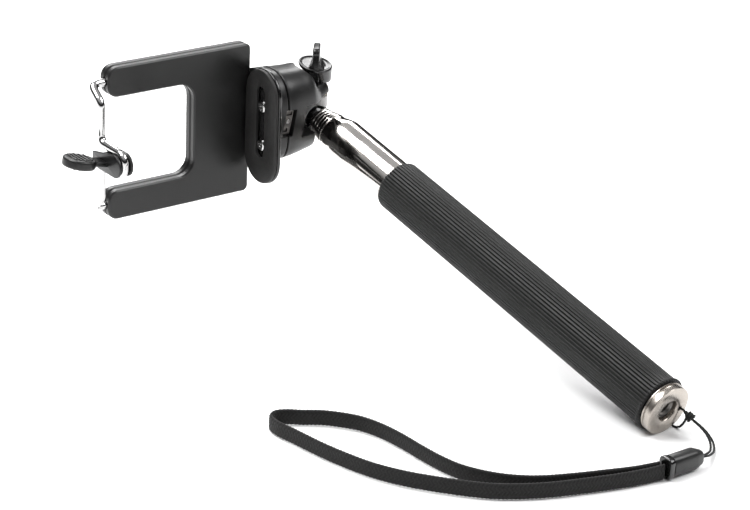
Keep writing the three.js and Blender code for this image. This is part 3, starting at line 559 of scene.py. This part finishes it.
# The cap's side from its face to its rim, with a groove: inset from its radius, and height.
CAP_SIDE = [
    (0.32, 0.0), (0.08, 0.08), (0, 0.32), (0, 2.15), (0.1, 2.3), (0.35, 2.36), (0.35, 2.62), (0.12, 2.7),
    (0, 2.82), (0, 3.15), (0.12, CAP_RIM),
]
CORD_HOLE = [(5.5, -1, -0.6), (5.55, 1.2, -1.0), (5.75, 1.75, -3.3), (5.5, 1.75, -6.0), (5.6, 1.75, -9.5)]
CORD_HOLE_RADIUS = 0.95
THREAD_PITCH, THREAD_CREST, THREAD_ROOT = 1.27, 2.62, 3.1
TUBE = [
    (8.1, 3.7), (8.1, 60), (8.1, 120), (8.1, 169.2), (8.07, 170.3), (7.98, 171.2), (7.8, 172.2),
    (7.55, 173.2), (7.28, 174.2), (7.0, 175.2), (6.86, 175.7), (6.83, 176.1), (6.8, 176.45), (6.68, 176.66),
    (6.5, 176.7), (6.4, 176.6), (6.4, 175.2), (7.6, 171), (7.6, 3.7), (8.1, 3.7),
]
# Each telescopic section: radius of its tube and of its collar.
SECTIONS = [(6.2, 6.6), (5.5, 6.2), (4.8, 5.85), (4.1, 5.5), (3.4, 5.2)]
SECTION_WALL = 0.35


def build_grip():
    def ribbed(radius, height, turn):
        if radius < GRIP_RADIUS - 0.5:
            return radius
        wave = abs(math.cos(GRIP_RIBS * turn / 2))
        depth = RIB_DEPTH * (0.75 if radius > GRIP_RADIUS + 0.1 else 1.0)
        return radius - depth * (1 - min(1.0, wave * 1.55)) ** 1.2

    lip = [(0.55, 0), (0.2, 0.1), (0, 0.4), (0, 0.85), (0.15, 1.2)]
    outer = [(GRIP_LIP - inset, GRIP_START + ahead) for inset, ahead in lip]
    first = GRIP_START + 1.6
    outer += [(GRIP_RADIUS, first + (GRIP_END - GRIP_START - 2.4) * i / 24) for i in range(25)]
    outer += [(GRIP_RADIUS - 0.12, GRIP_END - 0.35), (GRIP_RADIUS - 0.45, GRIP_END), (GRIP_BORE, GRIP_END),
              (GRIP_BORE, GRIP_START), (GRIP_LIP - 0.55, GRIP_START)]
    grip = lathe("ribbed_grip", outer, POLE, GRIP_RIBS * 8, ribbed)
    place(grip, RUBBER, "handle", ["grip_sleeve"], 50)


def build_cap():
    face = [(CAP_BORE, CAP_DEPTH), (CAP_BORE, 0.5), (CAP_BORE + 0.1, 0.15), (CAP_BORE + 0.3, 0.0)]
    face += [(CAP_RADIUS - inset, ahead) for inset, ahead in CAP_SIDE]
    face += [(CAP_PLUG, CAP_RIM), (CAP_PLUG, CAP_DEPTH), (CAP_BORE, CAP_DEPTH)]
    cap = lathe("end_cap_turned", face, POLE, 128)
    line, _ = spline([POLE @ Vector(p) for p in CORD_HOLE], 0.6)
    ring = round_section(CORD_HOLE_RADIUS, 24)
    carve(cap, [swept("hole", line, lambda run: ring, (1, 0, 0.1))])
    place(cap, NICKEL, "handle", ["end_cap"], 38)

    # The tripod thread is a real helix: the bore's radius follows the turn and the height.
    thread = [(3.6, 12.0), (0, 12.0), (0, 11.4)]
    thread += [(THREAD_CREST, 11.4 - 0.12 * i) for i in range(77)]
    thread += [(3.15, 1.85), (3.45, 1.6), (3.6, 1.75), (3.6, 12.0)]

    def cut(radius, height, turn):
        if abs(radius - THREAD_CREST) > 1e-6:
            return radius
        phase = (height / THREAD_PITCH + turn / TURN) % 1.0
        return THREAD_CREST + (THREAD_ROOT - THREAD_CREST) * (1 - abs(2 * phase - 1))

    insert = lathe("tripod_thread", thread, POLE, 48, cut)
    # The darker steel here is painted shade inside the cap's bore.
    place(insert, SHADED_STEEL, "handle", ["thread_insert"], 25)


def build_pole():
    place(lathe("tube_outer", TUBE, POLE, 128), CHROME, "handle", ["outer_tube"], 50)
    for k, (radius, collar) in enumerate(SECTIONS):
        foot, start = 20 + 5 * k, 176.95 + 1.7 * k
        end = start + 1.45
        name = f"section_{k + 1}"
        bore = radius - SECTION_WALL
        wall = [(radius, foot), (radius, end - 0.1), (bore, end - 0.1), (bore, foot), (radius, foot)]
        place(lathe(f"{name}_drawn", wall, POLE), CHROME, name, [f"{name}_tube"])
        bead = [(collar, start), (collar, end), (radius + 0.1, end), (radius + 0.1, start)]
        bead = lathe(f"{name}_bead", rounded_profile(bead, 0.5, 5, True), POLE)
        place(bead, CHROME, name, [f"{name}_collar"], 60)
        dress(ACETAL, f"{name}_bush")


# ---------------------------------------------------------------- ball joint and head

def casing_ring(x, front, back, top, bottom, count=112):
    """The head's section at x: a rounded outline, squarer below its middle than above."""
    middle = bottom + (top - bottom) * 0.46
    ring = []
    for i in range(count):
        turn = (i + 0.5) / count * TURN
        c, s = math.cos(turn), math.sin(turn)
        power = 2 / 2.7 if s > 0 else 2 / 3.4
        half = top - middle if s > 0 else middle - bottom
        y = (front + back) / 2 + (back - front) / 2 * math.copysign(abs(c) ** power, c)
        ring.append(Vector((x, y, middle + half * math.copysign(abs(s) ** power, s))))
    return ring


def casing_rings(sections, steps, ease):
    """Sections filled in along X by a smooth line, with an eased lip at each end."""
    line = [Vector(s[1:]) for s in sections]
    stops = [s[0] for s in sections]
    rows = []
    for k in range(len(sections) - 1):
        span = stops[k + 1] - stops[k]
        before, after = (
            (line[high] - line[low]) / (stops[high] - stops[low])
            for low, high in ((max(k - 1, 0), k + 1), (k, min(k + 2, len(line) - 1)))
        )
        for i in range(steps):
            t = i / steps
            value = (line[k] * (2 * t ** 3 - 3 * t ** 2 + 1) + before * span * (t ** 3 - 2 * t ** 2 + t)
                     + line[k + 1] * (3 * t ** 2 - 2 * t ** 3) + after * span * (t ** 3 - t ** 2))
            rows.append((stops[k] + span * t, *value))
    rows.append(tuple(sections[-1]))
    eased = []
    first, last = rows[0], rows[-1]
    for share in (1.0, 0.62, 0.3, 0.08):
        x = first[0] + ease[0] * (1 - share)
        inset = ease[0] * (1 - math.sqrt(max(0, 1 - share ** 2)))
        eased.append((x, first[1] + inset, first[2] - inset, first[3] - inset, first[4] + inset))
    rows = [r for r in rows if first[0] + ease[0] < r[0] < last[0] - ease[1]]
    tail = []
    for share in (0.08, 0.3, 0.62, 1.0):
        inset = ease[1] * (1 - math.sqrt(max(0, 1 - share ** 2)))
        x = last[0] - ease[1] * (1 - share)
        tail.append((x, last[1] + inset, last[2] - inset, last[3] - inset, last[4] + inset))
    return [casing_ring(*row) for row in eased + rows + tail]


# Sections of the head: x, front y, back y, top z and bottom z.
BASE = [(62.0, -7.6, 17.0, 74.7, 41.2), (67.2, -7.3, 17.0, 74.4, 41.5)]
HOUSING = [
    (67.5, -7.3, 17.0, 74.4, 41.5),
    (71.2, -7.0, 17.0, 74.0, 41.8),
    (76.0, -6.0, 17.0, 73.6, 42.3),
    (80.6, -4.8, 17.0, 73.3, 42.7),
    (82.2, -4.1, 16.9, 71.9, 42.85),
    (83.8, -3.2, 16.7, 69.2, 43.05),
    (86.2, -1.5, 16.4, 66.6, 43.4),
    (88.6, 0.2, 15.4, 65.7, 44.9),
    (91.0, 2.2, 13.8, 65.3, 48.6),
    (93.2, 4.2, 11.6, 64.5, 54.6),
    (94.4, 6.0, 9.6, 62.8, 58.0),
]
# The small window and the bracket in it: corners in x and z.
WINDOW = [(64.3, 52.4), (69.0, 52.1), (71.0, 61.7), (66.3, 62.0)]
BRACKET = [(64.6, 52.7), (68.75, 52.45), (70.65, 61.4), (66.6, 61.7)]
BRACKET_EYE = Matrix.Translation((68.2, 0, 57.2))
# What the pole sweeps through when the head turns, seen from above, from the ball's centre. The first
# and the last points are drawn in by the share that is asked for.
SWING_NEAR = [(-6.2, -6.3), (-7.0, -11), (-9, -16), (-9, -24), (24, -24)]
KNOB_X, KNOB_Y = 90.2, 7.2
KNOB_AXIS = Matrix.Translation((KNOB_X, KNOB_Y, 0)) @ UP_Z
# The knob's seat (radius and height), drawn out towards the near side by SCOOP.
SEAT = [(5.4, 65.1), (6, 67.2), (7.2, 70), (8.4, 71.4), (9.4, 73.2), (9.4, 90)]
SCOOP = Vector((-2.6, -3.3, 0))
# The fixed jaw: its middle line, the heights of its two screws, and their holes.
JAW_Y = -0.9
JAW_SCREWS_Z = (48.4, 62.8)
JAW_HOLE_RADIUS = 1.45


def jaw_screw_axis(z):
    return Matrix.Translation((0, JAW_Y, z)) @ ALONG_X


def jaw_holes(start, end):
    hole = [(0, start), (JAW_HOLE_RADIUS, start), (JAW_HOLE_RADIUS, end), (0, end)]
    return [lathe("hole", hole, jaw_screw_axis(z), 24) for z in JAW_SCREWS_Z]


def window_tool():
    return prism("pocket", WINDOW, -12, -3.2, "Y")


def build_ball():
    stud = [(0, 174), (2.85, 174), (2.85, 185.2), (3.05, 185.5), (3.2, 185.75)]
    first = math.asin(3.2 / BALL_RADIUS)
    turns = [first + (math.pi - first) * i / 28 for i in range(1, 28)]
    stud += [(BALL_RADIUS * math.sin(t), BALL_AT - BALL_RADIUS * math.cos(t)) for t in turns]
    stud += [(0, BALL_AT + BALL_RADIUS)]
    place(lathe("ball", stud, POLE, 72), GLOSS, "ball", ["ball_stud"], 50)
    mouth = math.radians(72)
    turns = [mouth + (math.pi - mouth) * i / 20 for i in range(21)]
    outer, inner = (
        [(radius * math.sin(t) if i < 20 else 0, BALL_AT - radius * math.cos(t)) for i, t in enumerate(turns)]
        for radius in (5.5, 4.9)
    )
    cup = lathe("liner_cup", outer + inner[::-1] + [outer[0]], POLE, 72)
    place(cup, ACETAL, "liner", ["socket_liner"], 50)


def build_casings():
    housing = loft("housing", casing_rings(HOUSING, 6, (0.5, 1.0)))
    front = [(73.6, 50.3), (100, 50.3), (100, 61.5), (75.9, 61.5)]

    def swing(share, start, end):
        outline = [(-5.6, -3.9 * share), *SWING_NEAR, (24, -0.8 * share), (6.9, -0.8 * share),
                   (2.1, -3.6 * share), (-0.7, -4.1 * share)]
        return prism("swing", [(BALL.x + x, BALL.y + y) for x, y in outline], start, end, "Z")

    turns = [math.pi * (i / 24 - 0.5) for i in range(1, 24)]
    room = [(BALL_ROOM * math.cos(t), BALL_ROOM * math.sin(t)) for t in turns]
    room = [(0, -BALL_ROOM), *room, (0, BALL_ROOM)]
    seat = []
    for radius, z in SEAT:
        ring = []
        for i in range(72):
            out = Vector((math.cos(TURN * i / 72), math.sin(TURN * i / 72), 0))
            ring.append(Vector((KNOB_X, KNOB_Y, z)) + out * radius + SCOOP * (out.dot(SCOOP) > 0))
        seat.append(ring)
    shaft = [(0, BALL.z + 2), (4.1, BALL.z + 2), (4.1, 60.2), (3.3, 60.2), (3.3, 63.9), (1.85, 63.9),
             (1.85, 90), (0, 90)]
    carve(housing, [
        prism("slot", front, -20, BALL.y - 6.1, "Y"),
        prism("deep", rounded_box(80.6, 50, 100, 59.5, 1.5), -20, BALL.y - 1, "Y"),
        swing(0.8, 38, 61.5),
        swing(0.55, 38, BALL.z - 3),
        lathe("room", room, Matrix.Translation(BALL), 48),
        window_tool(),
        lathe("shaft", shaft, KNOB_AXIS, 48),
        loft("seat", seat),
    ])
    soften(housing, 0.22, 2, 48)
    place(housing, PLASTIC, "head", ["ball_housing"], 38)

    base = loft("base", casing_rings(BASE, 6, (0.3, 0.5)))
    carve(base, [window_tool(), *jaw_holes(55, 67.9)])
    soften(base, 0.2, 2, 48)
    place(base, PLASTIC, "head", ["base_shell"], 38)

    bracket = prism("bracket", BRACKET, -5.4, -3.5, "Y")
    carve(bracket, [
        lathe("eye", [(0, -6.5), (1.05, -6.5), (1.05, -2), (0, -2)], BRACKET_EYE, 32),
        prism("gap", rounded_box(65.4, 53.4, 68.0, 55.0, 0.3), -6, -4.3, "Y"),
        prism("gap", rounded_box(67.4, 59.4, 70.0, 60.8, 0.3), -6, -4.3, "Y"),
    ])
    soften(bracket, 0.12, 2, 40)
    # The darker steel here is painted shade inside the head's window.
    place(bracket, SHADED_STEEL, "head", ["window_bracket"], 38)
    pin = rounded_profile([(0, -5.55), (0.85, -5.55), (0.85, -3.85), (0, -3.85)], 0.2)
    pin = lathe("pin", pin, BRACKET_EYE, 40)
    place(pin, STEEL, "head", ["bracket_pin"], 40)
    dress(BRASS, "insert_nut")
    dress(ACETAL, "clamp_shoe")
    dress(STEEL, "clamp_screw", "rod_collar_lower", "rod_collar_upper")
    dress(SPRING, "return_spring_lower", "return_spring_upper")


# The knob's cone and dish: middle x and y, height, radius and share of the full slope.
KNOB = [
    (90.8, 7.1, 65.4, 3.8, 0), (90.8, 7.1, 65.48, 4.0, 0), (90.75, 7.1, 65.8, 4.15, 0),
    (90.6, 7.1, 66.2, 4.38, 0.1), (90.1, 7.15, 67.6, 4.9, 0.45), (89.6, 7.2, 69.0, 5.36, 0.7),
    (89.2, 7.2, 70.0, 5.72, 0.9), (88.8, 7.2, 70.8, 6.0, 1), (88.6, 7.2, 71.25, 6.13, 1),
    (88.6, 7.2, 71.45, 6.2, 1), (88.6, 7.2, 71.95, 6.25, 1), (88.6, 7.2, 72.2, 6.12, 1),
    (88.6, 7.2, 72.3, 5.9, 1), (88.6, 7.2, 72.26, 5.5, 1), (88.6, 7.2, 72.06, 5.2, 1),
    (88.6, 7.2, 72.0, 4.6, 1), (88.6, 7.2, 72.0, 1.0, 1),
]
KNOB_SLOPE = Vector((-0.02, 0.195))
FIN_FRAME = Matrix.Translation((89.1, 7.2, 0)) @ Matrix.Rotation(0.9, 4, "Z")
# The fin's middle height, and half its length and height.
FIN_MIDDLE, FIN_LONG, FIN_HIGH = 75, 5.0, 3.8
# The fin's rounded faces: depth through the fin, and inset of its outline.
FIN_LAYERS = [
    (-1.3, 0.55), (-1.2, 0.25), (-0.95, 0.06), (-0.7, 0), (0.7, 0), (0.95, 0.06), (1.2, 0.25), (1.3, 0.55),
]
# The rib that carries the fin down the cone (along the fin, z) and the flare at the fin's foot (across, z).
RIB = [(-4.2, 65.9), (-6.0, 70.9), (-5.85, 72.5), (-5.1, 76.6), (0, 76.6), (0, 65.9)]
FLARE = [(-3.1, 71.4), (-2.3, 72.1), (-1.6, 72.9), (-1.3, 73.7), (-1.2, 74.6), (-1.0, 75.6)]


def build_knob():
    rings = []
    for x, y, z, radius, tilt in KNOB:
        ring = []
        for i in range(72):
            dx, dy = radius * math.cos(TURN * i / 72), radius * math.sin(TURN * i / 72)
            ring.append(Vector((x + dx, y + dy, z + (KNOB_SLOPE.x * dx + KNOB_SLOPE.y * dy) * tilt)))
        rings.append(ring)
    knob = loft("knob_disc", rings)
    outline = rounded_box(-FIN_LONG, FIN_MIDDLE - FIN_HIGH, FIN_LONG, FIN_MIDDLE + FIN_HIGH, 1.9, 10)
    layers = []
    for depth, inset in FIN_LAYERS:
        long, high = 1 - inset / FIN_LONG, 1 - inset / FIN_HIGH
        layers.append([Vector((x * long, depth, FIN_MIDDLE + (z - FIN_MIDDLE) * high)) for x, z in outline])
    fin = loft("fin", layers)
    rib = prism("rib", RIB, -1.15, 1.15, "Y")
    soften(rib, 0.3, 3, 40)
    flare = prism("flare", FLARE + [(-x, z) for x, z in FLARE[::-1]], -5.2, 4.9, "X")
    for piece in (fin, rib, flare):
        piece.data.transform(FIN_FRAME)
        combine(knob, piece, "UNION")
    soften(knob, 0.25, 2, 50)
    bore = [(0, 60), (1.75, 60), (1.75, 70.15), (0, 70.15)]
    carve(knob, [lathe("bore", bore, KNOB_AXIS, 32)])
    place(knob, SMOOTH_PLASTIC, "knob_and_screw", ["knob"], 42)


def edge_loft(name, ring, rows):
    """Rings of ring(radius) carried along X by (x, radius) rows: a plate with rounded edges."""
    return loft(name, [[Vector((x, y, z)) for y, z in ring(radius)] for x, radius in rows])


def build_fixed_jaw():
    def outline(radius):
        return stadium(JAW_Y, 43.7, 67.1, radius)

    pad = edge_loft("pad", outline, [(59.1, 9.05), (59.13, 9.25), (59.25, 9.42), (59.45, 9.5), (60.3, 9.5)])
    carve(pad, [prism("slot", stadium(JAW_Y, 46.3, 68.1, 2.5), 58, 61, "X")])
    soften(pad, 0.14, 2, 55)
    place(pad, PAD, "head", ["jaw_pad"], 40)
    edge = [(60.5, 9.5), (60.58, 9.65), (60.78, 9.75), (61.4, 9.75), (61.62, 9.65), (61.7, 9.45)]
    plate = edge_loft("plate", outline, edge)
    carve(plate, jaw_holes(60, 65))
    place(plate, GLOSS, "head", ["jaw_plate"], 50)
    shape = [(0, 59.3), (1.35, 59.3), (1.8, 59.4), (2.05, 59.65), (2.1, 59.95), (2.1, 60.4), (1.2, 60.4),
             (1.2, 66.9), (0, 67.0)]
    for k, z in enumerate(JAW_SCREWS_Z):
        cross_screw(f"plate_screw_{k + 1}", shape, jaw_screw_axis(z), 59.3, 0.5, 0.6 + k, BRIGHT_WIRE)


def cross_screw(name, shape, matrix, face, depth, turn, look):
    """A turned screw with a cross recess cut into its face. A negative depth faces the other way."""
    screw = lathe(f"{name}_turned", shape, matrix, 48)
    for extra in (0, math.pi / 2):
        bar = rounded_box(-0.95, -0.2, 0.95, 0.2, 0.12, 3)
        low, high = (face - 0.4, face + depth) if depth > 0 else (face + depth, face + 0.4)
        tool = prism("cross", bar, low, high, "Y")
        tool.data.transform(matrix @ Matrix.Rotation(turn + extra, 4, "Y"))
        carve(screw, [tool])
    place(screw, look, "head", [name], 35)


# ---------------------------------------------------------------- frame behind the phone, sprung jaw

COVER_SCREWS = ((44, 41.4), (44, 69.1), (57, 41.4), (57, 69.1))
# The bent wire's middle line: out of the upper bore, down the jaw with its loop, into the lower bore.
WIRE_ROUTE = [
    (58.8, 12.2, 77.8), (-2.3, 12.2, 77.8), (-2.3, 5.6, 73.2), (-2.3, 5.6, 58.85), (-2.3, -9.7, 58.85),
    (-2.3, -9.7, 51.55), (-2.3, 5.6, 51.55), (-2.3, 5.6, 38), (-2.3, 12.2, 32.6), (58.8, 12.2, 32.6),
]
WIRE_RADIUS, WIRE_BEND = 1.5, 3.4
NECK_ROUTE = [(-10.9, 0, 55.4), (-8.4, 0, 54.7), (-6.2, 0, 54.2), (-4.6, 0, 54.0)]
PADDLE_FRAME = Matrix.Translation((-14.3, -0.2, 55.9)) @ Matrix.Rotation(0.21, 4, "Y")


def build_frame():
    dress(PLASTIC, "back_frame", "back_cover")
    shape = [(0, 10.9), (0.7, 10.9), (0.7, 14.4), (1.7, 14.4), (1.7, 14.85), (1.6, 15.08), (1.3, 15.2),
             (0, 15.2)]
    for k, (x, z) in enumerate(COVER_SCREWS):
        cross_screw(f"cover_screw_{k + 1}", shape, Matrix.Translation((x, 0, z)), 15.2, -0.4, 0.4 + 0.7 * k,
                    STEEL)


def rounded_line(points, radius, steps):
    """A line in space with its corners rounded."""
    line = [Vector(points[0])]
    for k in range(1, len(points) - 1):
        at = Vector(points[k])
        into, out = Vector(points[k - 1]) - at, Vector(points[k + 1]) - at
        reach = min(radius / math.tan(into.angle(out) / 2), into.length * 0.49, out.length * 0.49)
        start, end = at + into.normalized() * reach, at + out.normalized() * reach
        for i in range(steps + 1):
            t = i / steps
            line.append(start * (1 - t) ** 2 + at * 2 * t * (1 - t) + end * t ** 2)
    return line + [Vector(points[-1])]


def build_sprung_jaw():
    body = "sprung_jaw"
    line = rounded_line(WIRE_ROUTE, WIRE_BEND, 14)
    ring = round_section(WIRE_RADIUS, 28, 1, 1)
    wire = swept("wire", line, lambda run: ring, (0, 1, 0))
    place(wire, BRIGHT_WIRE, body, ["wire_jaw"], 60)

    def tongue(back, low, high):
        front = arc(-11.2 + 4.1, 54.7, 4.1, math.pi / 2, 1.5 * math.pi, 20)
        return [(back, low), (back, high), *front]

    pad = prism("inner_pad", tongue(3.4, 50.6, 58.8), -0.5, 0.5, "X")
    soften(pad, 0.28, 3, 40)
    place(pad, PAD, body, ["jaw_inner_pad"], 45)
    tab = prism("tab_plate", tongue(7.0, 50.8, 56.0), -5.0, -4.1, "X")
    soften(tab, 0.25, 3, 40)
    boss = prism("boss", rounded_box(-5.2, 53.5, 2.4, 56.9, 1), -4.5, -0.7, "X")
    disc = rounded_profile([(0, -1.65), (5.8, -1.65), (5.8, 1.65), (0, 1.65)], 0.95, 8)
    paddle = lathe("paddle", disc, PADDLE_FRAME @ UP_Z, 72)
    section = [(s, t, 1, 0) for s, t in rounded_box(-3.4, -0.8, 3.4, 0.8, 0.45, 4)]
    neck = swept("neck", spline(NECK_ROUTE, 0.5)[0], lambda run: section, (0, 0, 1))
    for other in (boss, paddle, neck):
        combine(tab, other, "UNION")
    soften(tab, 0.3, 2, 50)
    # Raised bars for the fingertip, on both faces of the disc.
    bars = []
    for side in (-1, 1):
        for k in range(-2, 3):
            reach = 4.3 - 0.35 * abs(k) ** 1.6
            bar = prism("bar", rounded_box(-0.38, -reach, 0.38, reach, 0.36, 5), 1.5, 1.98, "Z")
            bar.data.transform(Matrix.Translation((1.55 * k, 0, 0)))
            if side < 0:
                bar.data.transform(Matrix.Rotation(math.pi, 4, "X"))
            bar.data.transform(PADDLE_FRAME)
            soften(bar, 0.14, 2, 50)
            bars.append(bar)
    for bar in bars:
        combine(tab, bar, "UNION")
    place(tab, PLASTIC, body, ["jaw_pull_tab"], 42)


# ---------------------------------------------------------------- strap, ferrule and lanyard

STRAP_Z = 3.0
STRAP_ROUTE = [
    (74.2, -198.2), (66.2, -196.9), (56.6, -194.4), (47.2, -191.3), (38, -188.0), (29.7, -183.9),
    (22.1, -178.8), (15.6, -172.3), (9.6, -165.2), (4.2, -157.6), (-0.4, -148.7), (-4.8, -134.2),
    (-7.6, -119.2), (-8.9, -111.4), (-8.3, -107.4), (-5.6, -105.8), (-2.2, -107), (2, -110.2),
    (6.8, -113.4), (11.2, -117.9), (15, -123.4), (17.4, -130.5), (18.7, -139.1), (19.2, -148.6),
    (20, -157.3), (21.6, -164.3), (24.6, -170.4), (28.4, -175.6), (33, -179.9), (38.5, -183.5),
    (47.8, -187.6), (56.6, -190.9), (66.2, -194.3), (74.2, -196.1),
]
# The lanyard: out from the ferrule, through the cap (in the pole's own frame), and back.
LANYARD_OUT = [
    (86.9, -197.3, 4.0), (90.8, -197.9, 3.7), (94.8, -196.3, 2.4), (99.0, -193.8, 1.5),
    (101.5, -191.0, 2.2), (102.3, -188.3, 3.6), (102.0, -186.0, 5.0), (101.3, -184.3, 6.1),
    (100.9, -183.4, 6.7), (100.3, -182.2, 7.4), (99.9, -181.2, 8.0), (100.4, -179.9, 8.4),
]
LANYARD_THROUGH = [
    (5.3, -1.7, 0), (5.5, 0.4, -0.6), (5.58, 1.5, -1.3), (5.74, 1.75, -3.3), (5.5, 1.75, -6), (5.6, 1.7, -7.6),
    (6.1, 0.5, -8.5), (6.7, -1.3, -7.6),
]
LANYARD_BACK = [
    (102.6, -178.9, 4.8), (101.9, -179.2, 7.4), (101.1, -180.4, 8.0), (101.2, -181.9, 7.0),
    (101.8, -183.2, 6.1), (102.3, -184.2, 5.5), (103.0, -186.1, 4.4), (103.3, -188.3, 3.2),
    (102.6, -191.3, 1.9), (99.9, -194.5, 1.2), (95.3, -197.2, 2.2), (91.0, -198.9, 3.7),
    (86.9, -198.3, 4.0),
]
STRAP_HALF, STRAP_THICK = 2.65, 0.65
BRAID_PITCH, BRAID_RELIEF, BRAID_LEAN = 1.25, 0.16, 0.9
CORD_RADIUS, CORD_PITCH = 0.4, 1.5
KNOT_AT, KNOT_RADIUS, KNOT_PITCH = Vector((100.8, -182.0, 7.2)), 1.3, 0.84
KNOT_AXIS = Vector((-0.37, 0.79, 0.49))
KNOT_SIDE = Vector((0.906, 0.424, 0))
KNOT_UP = Vector((0.208, -0.444, 0.873))
# The ferrule's sections: x, middle y, half its depth and half its height.
FERRULE = [
    (77.1, -197.7, 2.5, 3.3), (77.2, -197.7, 2.65, 3.45), (77.5, -197.7, 2.7, 3.5), (81.8, -197.8, 2.7, 3.5),
    (86.3, -197.9, 2.7, 3.5), (86.9, -197.95, 2.6, 3.4), (88.5, -198.15, 2.1, 2.75),
    (89.4, -198.25, 1.85, 2.4), (89.6, -198.3, 1.6, 2.1),
]
FERRULE_Z = 3.8


def braided(run):
    """The strap's section: a flat braid of two chevron columns on each face, raised yarn by yarn."""
    section = []
    across = 13
    for side in (1, -1):
        for i in range(across):
            v = i / (across - 1) * 2 - 1
            ends = math.sqrt(max(0.0, 1 - abs(v) ** 6))
            lean = abs((v * 2 + 2) % 2 - 1)
            yarn = 0.5 + 0.5 * math.cos(TURN * (run / BRAID_PITCH + BRAID_LEAN * lean))
            height = yarn ** 0.6 * BRAID_RELIEF * (0.35 + 0.65 * ends)
            deep = (STRAP_THICK - BRAID_RELIEF) * (0.45 + 0.55 * ends) + height
            wide = v * (STRAP_HALF - 0.1 + 0.1 * yarn)
            # The third value, yarn, is also the tone: painted highlight on the raised crests, painted shade in
            # the grooves.
            section.append((side * deep, side * wide, yarn, (v + 1) / 4 + (0.5 if side < 0 else 0)))
    return section


def twisted(run):
    """The cord's section: three strands laid round each other."""
    section = []
    for i in range(12):
        turn = TURN * i / 12
        strand = 0.5 + 0.5 * math.cos(3 * turn + TURN * run / CORD_PITCH)
        reach = CORD_RADIUS * (0.86 + 0.16 * strand)
        # The third value, strand, is also the tone: painted highlight on each strand, painted shade between
        # strands.
        section.append((reach * math.cos(turn), reach * math.sin(turn), strand, i / 12))
    return section


def build_strap():
    rings = []
    for x, y, half_y, half_z in FERRULE:
        ring = []
        for i in range(56):
            c, s = math.cos(TURN * i / 56), math.sin(TURN * i / 56)
            ring.append(Vector((
                x,
                y + half_y * math.copysign(abs(c) ** 0.7, c),
                FERRULE_Z + half_z * math.copysign(abs(s) ** 0.7, s),
            )))
        rings.append(ring)
    ferrule = loft("ferrule", rings)
    ring = round_section(1.35, 24)
    mouth = [Vector((86.5, -197.8, 4)), Vector((92, -198.6, 3.9))]
    carve(ferrule, [swept("bore", mouth, lambda run: ring, (0, 0, 1))])
    soften(ferrule, 0.12, 2, 50)
    place(ferrule, PLASTIC, "handle", ["strap_ferrule"], 42)
    collar = prism("collar", rounded_box(-200.5, 0.3, -195.0, 7.3, 1.6, 10), 74.9, 76.8, "X")
    soften(collar, 0.35, 4, 50)
    place(collar, GLOSS, "handle", ["ferrule_collar"], 45)

    line, length = spline([(x, y, STRAP_Z) for x, y in STRAP_ROUTE], 0.2)
    strap = place(swept("strap", line, braided, (0, 0, 1)), WEBBING, "handle", ["wrist_strap"], 80)

    through = [tuple(POLE @ Vector(p)) for p in LANYARD_THROUGH]
    line, length = spline(LANYARD_OUT + through + LANYARD_BACK, 0.16)
    lanyard = place(swept("lanyard_cord", line, twisted, (0, 0, 1)), CORD, "handle", ["lanyard"], 80)
    wound = []
    for i in range(100 + 1):
        turn = TURN * i / 40
        wound.append(KNOT_AT + KNOT_AXIS * (i / 40 - 1.25) * KNOT_PITCH
                     + KNOT_SIDE * KNOT_RADIUS * math.cos(turn) + KNOT_UP * KNOT_RADIUS * math.sin(turn))
    knot = place(swept("knot", wound, twisted, KNOT_AXIS), CORD, "handle", ["lanyard_knot"], 80)


build_camera()
build_studio()
build_strap()
build_grip()
build_cap()
build_pole()
build_ball()
build_casings()
build_knob()
build_fixed_jaw()
build_frame()
build_sprung_jaw()
